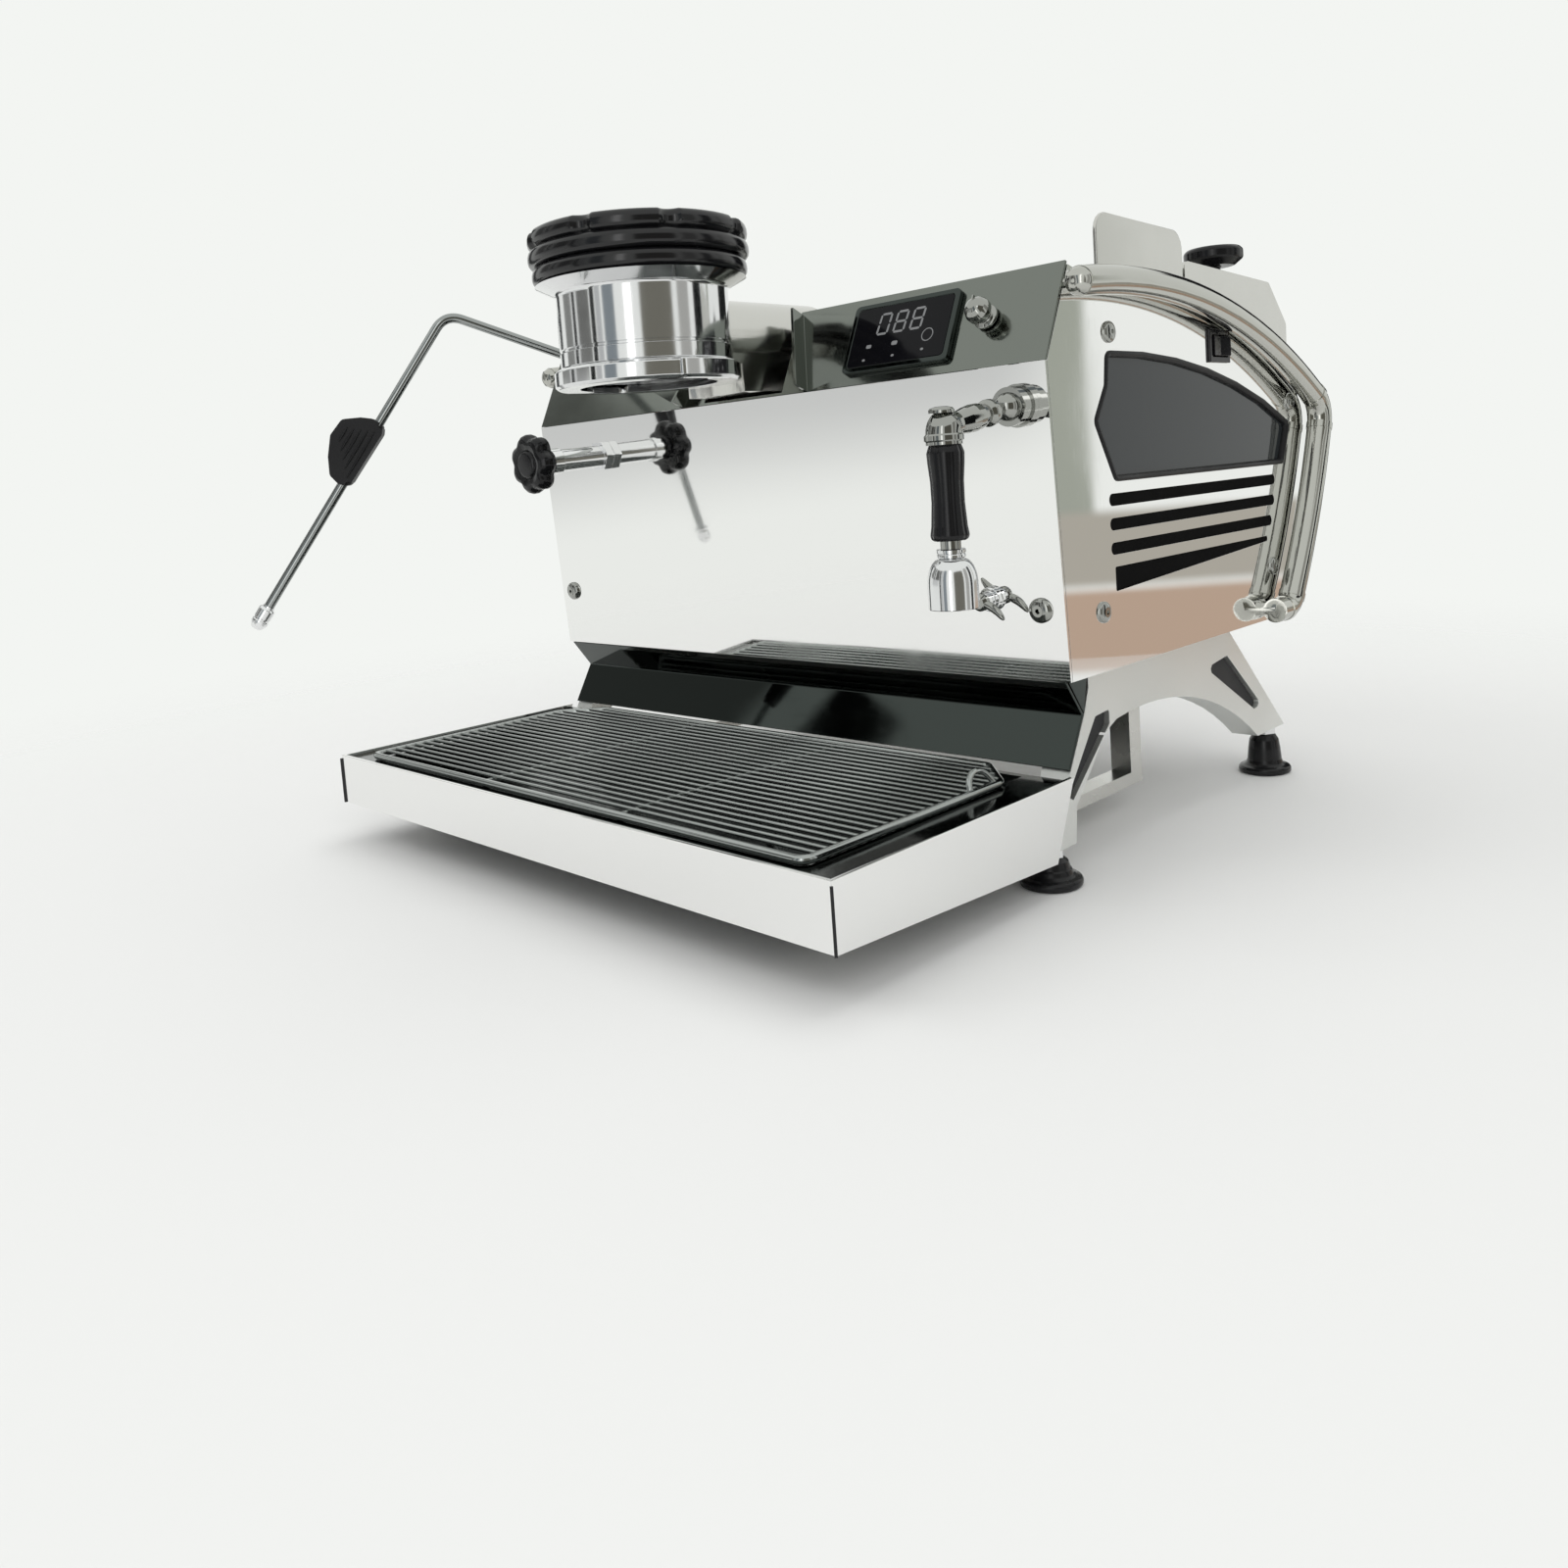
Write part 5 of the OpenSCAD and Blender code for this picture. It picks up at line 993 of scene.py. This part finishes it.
def screwRowGroup():
    # one head on every vertex, turned to the vertex's own direction and size
    tree, given = newGroup("Geometry", "ScrewHeads", {
        "Geometry": "Geometry", "Head": "Object", "Finish": "Material",
    }, {"Geometry": "Geometry"})
    head = addNode(tree, "GeometryNodeObjectInfo", {"Object": given["Head"]})
    outward, size = (
        addNode(tree, "GeometryNodeInputNamedAttribute", {"Name": label},
                data_type="FLOAT_VECTOR")["Attribute"] for label in ("outward", "size"))
    turn = addNode(tree, "FunctionNodeAlignRotationToVector", {"Vector": outward}, axis="Z")
    lay(tree, given["Geometry"], head["Geometry"], given["Finish"],
        Rotation=turn["Rotation"], Scale=size)
    return tree


def laidOut(name, mesh, tree, **values):
    # evaluates a geometry-nodes layout into a plain mesh
    carrier = newObject(name, mesh)
    layout = carrier.modifiers.new("Layout", "NODES")
    layout.node_group = tree
    for item in tree.interface.items_tree:
        label = item.name.replace(" ", "_")
        if getattr(item, "in_out", "") == "INPUT" and label in values:
            layout[item.identifier] = values[label]
    carrier.update_tag()
    return shapedMesh(carrier)


grateSizes = {
    "pitch": 0.0063, "wire": 0.00095, "border": 0.002, "chamfer": 0.022, "corner": 0.006,
    "cross": 0.058, "crossWire": 0.0013, "crossDrop": 0.0007,
    # the finger loop: how far behind the chamfer, its radius, its wire and its lean
    "loop": (0.014, 0.009, 0.0015, 25), "loopSteps": 24,
}


def trayGrate():
    size = grateSizes
    low, high = boxOf("tray_grate")
    border, chamfer, wire, pitch = pick(size, "border", "chamfer", "wire", "pitch")
    half = housing.x - low.x - border
    front, rear = low.y + border, high.y - border
    level = low.z + border
    count = math.floor((rear - front - 2 * border) / pitch)
    first = front + (rear - front - (count - 1) * pitch) / 2
    seed = bpy.data.meshes.new("WireSeed")
    seed.from_pydata([(0, 0, 0)], [], [])
    wires = laidOut(
        "WireRow", seed, wireRowGroup(), Count=count, Pitch=pitch, Half_Length=half,
        Wire_Radius=wire, Full_Rows=(rear - chamfer - first) / pitch, Finish=finishes["wire_steel"])
    built = bmesh.new()
    built.from_mesh(wires)
    bmesh.ops.translate(built, verts=built.verts, vec=(housing.x, first, level + border - wire))
    corners = [(-half, front), (half, front), (half, rear - chamfer), (half - chamfer, rear),
               (-half + chamfer, rear), (-half, rear - chamfer)]
    path = [(housing.x + x, y, level) for x, y in fillet(corners, size["corner"], steps=6)]
    tube(built, path + path[:2], border, sides=16)
    for across in (-size["cross"], size["cross"]):
        ends = [(housing.x + across, y, level - size["crossDrop"]) for y in (front, rear)]
        tube(built, ends, size["crossWire"], sides=12)
    behind, radius, thick, lean = size["loop"]
    middle = Vector((housing.x + half, rear - chamfer - behind, level))
    lean = math.radians(lean)
    loop = []
    for step in range(size["loopSteps"] + 1):
        angle = math.pi * step / size["loopSteps"]
        rise = radius * math.sin(angle)
        loop.append(middle + Vector((
            -rise * math.sin(lean), radius * math.cos(angle), rise * math.cos(lean))))
    tube(built, loop, thick, sides=14)
    finishMesh("TrayGrate", built, "wire_steel", "grate", ["tray_grate"],
               sharp=50)


trayGrate()

# a screw head one unit wide
screwSizes = {
    "radius": 0.5, "rise": 0.27, "socket": 0.2, "rim": 0.03, "chamfer": 0.005, "depth": 0.12,
    "edge": 0.06, "steps": 8, "firstAngle": 4, "segments": 36, "sharp": 38,
}


def screwHead():
    # a domed head with a hexagonal socket
    size = screwSizes
    edge, rise, socket = pick(size, "edge", "rise", "socket")
    profile = [(0, 0), (size["radius"], 0)]
    for step in range(size["steps"]):
        angle = math.radians(90 * step / size["steps"] + size["firstAngle"])
        profile.append((size["radius"] * math.cos(angle) ** 0.75,
                        edge + (rise - edge) * math.sin(angle)))
    built = bmesh.new()
    turned(built, profile + [(socket + size["rim"], rise)], size["segments"])
    rim = [vert for vert in built.verts
           if vert.co.z > rise - 1e-6 and vert.co.xy.length < socket + size["rim"] + 0.01]
    rim.sort(key=lambda vert: math.atan2(vert.co.y, vert.co.x))
    inner, floor = [], []
    for vert in rim:
        angle = math.atan2(vert.co.y, vert.co.x)
        wedge = (angle % (math.pi / 3)) - math.pi / 6
        reach = socket * math.cos(math.pi / 6) / math.cos(wedge)
        for ring, drop in ((inner, size["chamfer"]), (floor, size["depth"])):
            place = (reach * math.cos(angle), reach * math.sin(angle), rise - drop)
            ring.append(built.verts.new(place))
    for upper, lower in ((rim, inner), (inner, floor)):
        for step in range(len(rim)):
            after = (step + 1) % len(rim)
            built.faces.new((upper[step], upper[after], lower[after], lower[step]))
    built.faces.new(floor)
    bmesh.ops.recalc_face_normals(built, faces=built.faces)
    mesh = meshFrom("ScrewHead", built)
    shadeSmooth(mesh, size["sharp"])
    return newObject("ScrewHead", mesh)


def looseParts(nodeName):
    # the separate solids of a CAD node, as lists of points, in the node's own order
    built = copyOfNode(nodeName)
    seen = set()
    parts = []
    for first in built.verts:
        if first in seen:
            continue
        seen.add(first)
        joined = [first]
        for vert in joined:
            beside = [edge.other_vert(vert) for edge in vert.link_edges]
            fresh = [other for other in beside if other not in seen]
            seen.update(fresh)
            joined.extend(fresh)
        parts.append([vert.co.copy() for vert in joined])
    built.free()
    return parts


def panelScrews():
    frontDepth = 0.02
    places, outwards, sizes = [], [], []
    for points in looseParts("panel_screws"):
        low, high = boxAround(points)
        middle = (low + high) / 2
        if high.y < housing.y + frontDepth:
            flat = [point - frontNormal * frontNormal.dot(point - middle) for point in points]
            middle = sum(flat, Vector()) / len(flat)
            middle += frontNormal * frontNormal.dot(housing - middle)
            across = high.x - low.x
            rise = max((point - housing).dot(frontNormal) for point in points)
            outward = frontNormal
        else:
            side = 1 if middle.x > housing.x else -1
            middle.x = panelHigh.x if side > 0 else panelLow.x
            across = high.y - low.y
            rise = high.x - middle.x if side > 0 else middle.x - low.x
            outward = Vector((side, 0, 0))
        places.append(tuple(middle))
        outwards.extend(outward)
        sizes.extend((across, across, rise / screwSizes["rise"]))
    mesh = bpy.data.meshes.new("ScrewPlaces")
    mesh.from_pydata(places, [], [])
    for label, values in (("outward", outwards), ("size", sizes)):
        mesh.attributes.new(label, "FLOAT_VECTOR", "POINT").data.foreach_set("vector", values)
    head = screwHead()
    heads = laidOut(
        "ScrewHeads", mesh, screwRowGroup(), Head=head, Finish=finishes["dark_chrome"])
    bpy.data.objects.remove(head)
    addPiece("PanelScrews", heads, "dark_chrome", "chassis", ["panel_screws"])
    print("screw heads laid:", len(places))


panelScrews()
print("grate and screws made")

# tray corner shade, feet, brew ring, window rims and slot shade

cornerShadeSizes = {"wide": 0.0013, "depth": 0.0016, "proud": 0.00004, "outward": 0.0009,
             "foot": 0.00002, "end": 0.0022, "frontDepth": 0.001}


def trayCornerShade():
    # a black strip in the fold at each front corner of the tray, where the front and side folds
    # meet: painted shade
    size = cornerShadeSizes
    low, high = boxOf("tray_shell")
    frontLow = min(point.z for point in nodePoints("tray_shell")
                   if point.y < low.y + size["frontDepth"])
    half = size["wide"] / 2
    back, face = size["depth"] - size["outward"], -size["proud"] - size["outward"]
    built = bmesh.new()
    for side in (-1, 1):
        corner = Vector((high.x if side > 0 else low.x, low.y, 0))
        plate(built, [(-half, back), (half, back), (half, face), (-half, face)],
              frontLow - size["foot"], high.z - size["end"],
              place=Matrix.Translation(corner) @ Matrix.Rotation(math.radians(45 * side), 4, "Z"))
    finishMesh("TraySeams", built, "inlay_black", "tray", sharp=30)


trayCornerShade()

footSizes = {"segments": 64, "round": 0.0012, "shoulder": 0.0084, "neck": 0.0066, "top": 0.0058}


def footPads():
    shoulder, neck, top = pick(footSizes, "shoulder", "neck", "top")
    built = bmesh.new()
    for points in looseParts("foot_pads"):
        low, high = boxAround(points)
        radius, tall = roundSize(low, high)
        profile = [
            (0, 0), (radius - 0.0014, 0), (radius - 0.0003, 0.0005), (radius, 0.0016),
            (radius, 0.003), (radius - 0.0008, 0.0042), (radius - 0.003, 0.0048),
            (radius - 0.0044, 0.006), (radius - 0.0052, 0.008), (radius - 0.0058, tall * 0.62),
            (shoulder, tall * 0.84), (neck, tall - 0.0008), (top, tall), (0, tall),
        ]
        turned(built, fillet(profile, footSizes["round"], steps=3, closed=False),
               footSizes["segments"], place=Matrix.Translation(baseOf(low, high)))
    finishMesh("FootPads", built, "foot_rubber", "chassis", ["foot_pads"])


footPads()

ringSizes = {
    "notches": 8, "notchDepth": 0.003, "notchHalf": 5.2, "notchFrom": 0.7, "notchReach": 0.006,
    "ribInsets": (0.0015, 0.0, 0.0004), "foot": 0.0002, "bevel": 0.0008, "segments": 256,
    # height as a share of the rib, and how far the rib draws in there
    "rib": ((0.02, 0.0026), (0.1, 0.0012), (0.24, 0.0003), (0.42, 0), (0.62, 0.0001),
            (0.8, 0.0006), (0.92, 0.0015), (0.985, 0.0027)),
}
brewLow, brewHigh = boxOf("brew_ring")
brewRadius, brewTall = roundSize(brewLow, brewHigh)


def brewRingShape(radius, height, angle):
    # finger notches in the upper rib
    size = ringSizes
    if height < brewTall * size["notchFrom"] or radius < brewRadius - size["notchReach"]:
        return radius
    turn = (angle / (2 * math.pi) * size["notches"]) % 1 - 0.5
    away = abs(turn) * 360 / size["notches"] / size["notchHalf"]
    return radius - size["notchDepth"] * max(0, 1 - away ** 2.2) ** 0.8


def brewRing():
    size = ringSizes
    axis = jointPlace("brew_ring_turn").xy
    bore = min((point.xy - axis).length for point in nodePoints("brew_ring"))
    foot, bevel, rib = size["foot"], size["bevel"], brewTall / len(size["ribInsets"])
    profile = [(bore, foot), (brewRadius - 0.0052, foot)]
    for index, inset in enumerate(size["ribInsets"]):
        profile += [(brewRadius - inset - depth, (index + share) * rib)
                    for share, depth in size["rib"]]
    profile += [(brewRadius - 0.005, brewTall), (bore + bevel, brewTall), (bore, brewTall - bevel)]
    built = bmesh.new()
    ringed(built, profile, size["segments"], brewRingShape,
           Matrix.Translation(baseOf(brewLow, brewHigh)))
    finishMesh("BrewRing", built, "ring_gloss", "brew_ring", ["brew_ring"])


brewRing()


def loopArea(loop):
    return sum(a.y * b.z - b.y * a.z for a, b in zip(loop, loop[1:] + loop[:1])) / 2


def holeLoops(nodeName, side):
    # the closed edges of a side panel's openings in its outer face, largest first
    flatTilt, wallTilt, inPlane = 0.9, 0.3, 1e-5
    built = copyOfNode(nodeName)
    face = max(side * vert.co.x for vert in built.verts)
    links = {}
    for edge in built.edges:
        if any(side * vert.co.x < face - inPlane for vert in edge.verts):
            continue
        tilts = sorted(abs(item.normal.x) for item in edge.link_faces)
        if tilts[0] < wallTilt and tilts[-1] > flatTilt:
            for vert, other in (edge.verts, reversed(edge.verts)):
                links.setdefault(vert, []).append(other)
    loops = []
    while links:
        start = next(iter(links))
        before, here = start, links[start][0]
        loop = [start]
        while here is not start:
            loop.append(here)
            ahead = [other for other in links[here] if other is not before]
            before, here = here, ahead[0]
        for vert in loop:
            links.pop(vert, None)
        loops.append([vert.co.copy() for vert in loop])
    built.free()
    loops = [loop if loopArea(loop) > 0 else loop[::-1] for loop in loops]
    return sorted(loops, key=loopArea, reverse=True)


rimSizes = {
    # inward and outward from the window's edge
    "section": [(-0.0005, 0.0), (-0.0005, 0.0005), (0.0004, 0.0009), (0.0016, 0.0007),
                (0.0024, -0.0004), (0.0026, -0.0019), (0.0, -0.0019)],
    "leastCosine": 0.5,
}


def windowRim(name, nodeName, side):
    # the first loop is the panel's outline, the second its window
    loop = holeLoops(nodeName, side)[1]
    built = bmesh.new()
    rings = []
    for index, here in enumerate(loop):
        before, after = loop[index - 1], loop[(index + 1) % len(loop)]
        first, second = (here - before).normalized(), (after - here).normalized()
        # inward is to the left of the walk, stretched at the corners
        inward = Vector((0, -(first.z + second.z), first.y + second.y)).normalized()
        stretch = 1 / max(rimSizes["leastCosine"], math.cos(first.angle(second) / 2))
        rings.append([
            built.verts.new(here + inward * depth * stretch + Vector((side * rise, 0, 0)))
            for depth, rise in rimSizes["section"]])
    steps = len(rimSizes["section"])
    for ring, ahead in zip(rings, rings[1:] + rings[:1]):
        for step in range(steps):
            after = (step + 1) % steps
            built.faces.new((ring[step], ring[after], ahead[after], ahead[step]))
    finishMesh(name, built, "rubber", "chassis", sharp=50)


slotShadeSizes = {"count": 4, "from": -0.0019, "to": -0.0008}


def slotShade(name, nodeName, side):
    # black plates down in the slots under the window: painted shade of the dark inside
    built = bmesh.new()
    for loop in holeLoops(nodeName, side)[2:2 + slotShadeSizes["count"]]:
        depths = [loop[0].x + side * slotShadeSizes[end] for end in ("from", "to")]
        low, high = ([built.verts.new((depth, point.y, point.z)) for point in loop]
                     for depth in depths)
        built.faces.new(low)
        built.faces.new(high)
        for index in range(len(loop)):
            built.faces.new((low[index - 1], low[index], high[index], high[index - 1]))
    finishMesh(name, built, "slot_black", "chassis", sharp=30)


for build, label in ((windowRim, "WindowRim"), (slotShade, "SlotFloors")):
    build(label + "Right", "side_panel_right", 1)
    build(label + "Left", "side_panel_left", -1)
print("tray seams, feet, brew ring, window rims and slot floors made")

# finishes of the CAD nodes

chromeNodes = [
    "group_body", "bayonet_ring", "steam_valve", "steam_wand", "wand_socket", "wand_swivel",
    "wand_tip", "spout_arm", "spout_bell", "spout_socket", "bleed_cock", "bleed_lever",
    "selector_knob", "panel_screws", "foot_studs", "tray_grate",
]
finishOfNode = dict.fromkeys(chromeNodes, "chrome")
finishOfNode.update(tray_shell="polished_steel", tray_pan="tray_steel")
for nodeName, node in frame["nodes"].items():
    recorded = recordedFinish(node)
    node.data.materials.clear()
    node.data.materials.append(finishes[finishOfNode.get(nodeName, recorded)])
print("CAD nodes dressed")

# studio


def setSurface(tree, output, shader):
    tree.links.new(shader, tree.nodes[output].inputs["Surface"])


def mixedShader(tree, factor, first, second):
    return addNode(tree, "ShaderNodeMixShader", {"Fac": factor, 1: first, 2: second})["Shader"]


def clearShader(tree):
    return addNode(tree, "ShaderNodeBsdfTransparent")["BSDF"]


def studioWorld(backdrop, strength):
    # what is seen directly, mirrored or through glass is the backdrop; the rest is soft light
    world = bpy.data.worlds.new("StudioWorld")
    bpy.context.scene.world = world
    world.use_nodes = True
    tree = world.node_tree
    seen = tree.nodes["Background"]
    feed(tree, seen, {"Color": (*backdrop, 1), "Strength": 1})
    given = addNode(tree, "ShaderNodeBackground", {"Color": (1, 1, 1, 1), "Strength": strength})
    rays = addNode(tree, "ShaderNodeLightPath")
    direct = calculated(tree, "MAXIMUM", rays["Is Camera Ray"], rays["Is Glossy Ray"])
    direct = calculated(tree, "MAXIMUM", direct, rays["Is Transmission Ray"])
    setSurface(tree, "World Output",
               mixedShader(tree, direct, given["Background"], seen.outputs["Background"]))


def smoothFade(tree, value, start, stop):
    return addNode(tree, "ShaderNodeMapRange", {
        "Value": value, "From Min": start, "From Max": stop},
        interpolation_type="SMOOTHSTEP")["Result"]


def floorFinish(fadeFrom, fadeTo):
    # a pale floor that fades into the backdrop
    material, shader = newFinish("PaleFloor", (0.93, 0.935, 0.92), metallic=0, roughness=0.7)
    tree = material.node_tree
    place = addNode(tree, "ShaderNodeTexCoord")["Object"]
    away = addNode(tree, "ShaderNodeVectorMath", {0: place}, operation="LENGTH")["Value"]
    fade = smoothFade(tree, away, fadeFrom, fadeTo)
    setSurface(tree, "Material Output",
               mixedShader(tree, fade, shader.outputs["BSDF"], clearShader(tree)))
    return material


def studioFloor(radius, fadeFrom, fadeShare):
    built = bmesh.new()
    bmesh.ops.create_circle(built, cap_ends=True, segments=96, radius=radius)
    mesh = meshFrom("StudioFloor", built)
    mesh.materials.append(floorFinish(fadeFrom, radius * fadeShare))
    newObject("StudioFloor", mesh)


def softLamp(name, place, target, width, height, power):
    light = bpy.data.lights.new(name, "AREA")
    light.shape = "RECTANGLE"
    light.size = width
    light.size_y = height
    light.energy = power
    lamp = newObject(name, light)
    lamp.visible_glossy = False
    lamp.location = place
    lamp.rotation_euler = (Vector(target) - Vector(place)).to_track_quat("-Z", "Y").to_euler()


def cardFinish(name, shade, width, low, high, soft):
    # fades out towards the card's edges, so that a band has soft sides
    material = bpy.data.materials.new(name)
    material.use_nodes = True
    tree = material.node_tree
    tree.nodes.remove(tree.nodes["Principled BSDF"])
    place = addNode(tree, "ShaderNodeTexCoord")["Object"]
    parts = addNode(tree, "ShaderNodeSeparateXYZ", {"Vector": place})
    total = 1
    for side, start, way in (
            ("X", -width / 2, 1), ("X", width / 2, -1), ("Z", low, 1), ("Z", high, -1)):
        fade = smoothFade(tree, parts[side], start, start + way * soft)
        total = calculated(tree, "MULTIPLY", total, fade)
    glow = addNode(tree, "ShaderNodeEmission", {"Color": (*shade, 1)})["Emission"]
    setSurface(tree, "Material Output", mixedShader(tree, total, clearShader(tree), glow))
    return material


def standingCard(name, azimuth, distance, width, low, high, shade, soft):
    # a card on a stand that only mirrors see: it draws the bands on polished metal
    built = bmesh.new()
    half = width / 2
    corners = [(-half, low), (half, low), (half, high), (-half, high)]
    built.faces.new([built.verts.new((across, 0, up)) for across, up in corners])
    mesh = meshFrom(name, built)
    mesh.materials.append(cardFinish(name, shade, width, low, high, soft))
    card = newObject(name, mesh)
    angle = math.radians(azimuth)
    place = Matrix.Translation((distance * math.cos(angle), distance * math.sin(angle), 0))
    card.matrix_world = place @ Matrix.Rotation(angle + math.pi / 2, 4, "Z")
    card.visible_camera = False
    card.visible_diffuse = False
    card.visible_shadow = False


studioWorld(backdrop=(0.896, 0.913, 0.888), strength=0.62)
studioFloor(radius=1.15, fadeFrom=0.2, fadeShare=0.94)
# place, target, width, height and power of each lamp
lamps = {
    "KeyLamp": ((-1.6, -1.5, 2.0), (0, 0, 0.15), 1.8, 1.4, 13),
    "FillLamp": ((1.9, -1.2, 1.5), (0, 0, 0.15), 1.6, 1.6, 11),
    "TopLamp": ((0.1, 0.5, 2.4), (0, 0.05, 0.1), 1.8, 1.4, 12),
}
for lampName, lamp in lamps.items():
    softLamp(lampName, *lamp)
# azimuth, distance, width, bottom, top, shade and soft edge of each card
cards = {
    "CardLeft": (178, 1.8, 0.46, -0.5, 1.2, (0.05, 0.055, 0.055), 0.04),
    "CardFrontLeft": (-153, 1.8, 0.62, 0.36, 1.3, (0.24, 0.245, 0.235), 0.06),
    "CardFrontLine": (-138, 1.8, 0.2, 0.36, 1.3, (0.012, 0.013, 0.013), 0.03),
    "CardFrontGray": (-121, 1.8, 0.72, 0.36, 1.3, (0.15, 0.152, 0.145), 0.08),
    "CardFront": (-106, 1.8, 0.22, -0.5, 1.3, (0.012, 0.013, 0.013), 0.03),
    "CardFrontPale": (-98, 1.8, 0.26, -0.5, 1.3, (0.5, 0.51, 0.51), 0.04),
    "CardFrontBlue": (-84, 1.8, 0.56, -0.5, 1.4, (0.24, 0.27, 0.29), 0.1),
    "CardGlow": (-60, 1.8, 0.34, -0.5, 1.4, (2.4, 2.4, 2.4), 0.1),
    "CardRightOlive": (-25, 1.9, 1.55, -0.5, 1.3, (0.17, 0.165, 0.14), 0.16),
    "CardRightPale": (10, 1.8, 0.6, -0.5, 1.3, (0.42, 0.42, 0.4), 0.1),
    "CardRight": (32, 1.8, 0.46, -0.5, 1.3, (0.01, 0.011, 0.011), 0.06),
    "CardBack": (90, 1.8, 0.86, -0.5, 1.2, (0.012, 0.013, 0.013), 0.08),
    "CardHorizon": (-134, 1.9, 1.5, -0.05, 0.62, (0.6, 0.61, 0.605), 0.26),
    "CardStrip": (51.3, 1.8, 0.13, -0.02, 1.3, (0.36, 0.38, 0.33), 0.02),
    "CardTable": (50, 0.75, 0.4, -0.02, 0.072, (0.5, 0.37, 0.285), 0.012),
    "CardBench": (50, 0.76, 0.4, 0.062, 0.15, (0.43, 0.405, 0.355), 0.014),
}
for cardName, card in cards.items():
    standingCard(cardName, *card)

# camera

cameraView = {
    "place": (0.52449, -0.52909, 0.20287), "right": (0.70805, 0.70266, -0.07024),
    "up": (-0.01437, 0.11378, 0.9934), "back": (0.70602, -0.70237, 0.09065),
    "lens": 27.64, "sensor": 36, "shiftUp": -0.12875,
}
cameraData = bpy.data.cameras.new("Camera")
cameraData.lens = cameraView["lens"]
cameraData.sensor_width = cameraView["sensor"]
cameraData.shift_y = cameraView["shiftUp"]
camera = newObject("Camera", cameraData)
camera.matrix_world = axesAt(*pick(cameraView, "place", "right", "up", "back"))
bpy.context.scene.camera = camera
bpy.context.scene.view_settings.view_transform = "Standard"
print("studio and camera set")
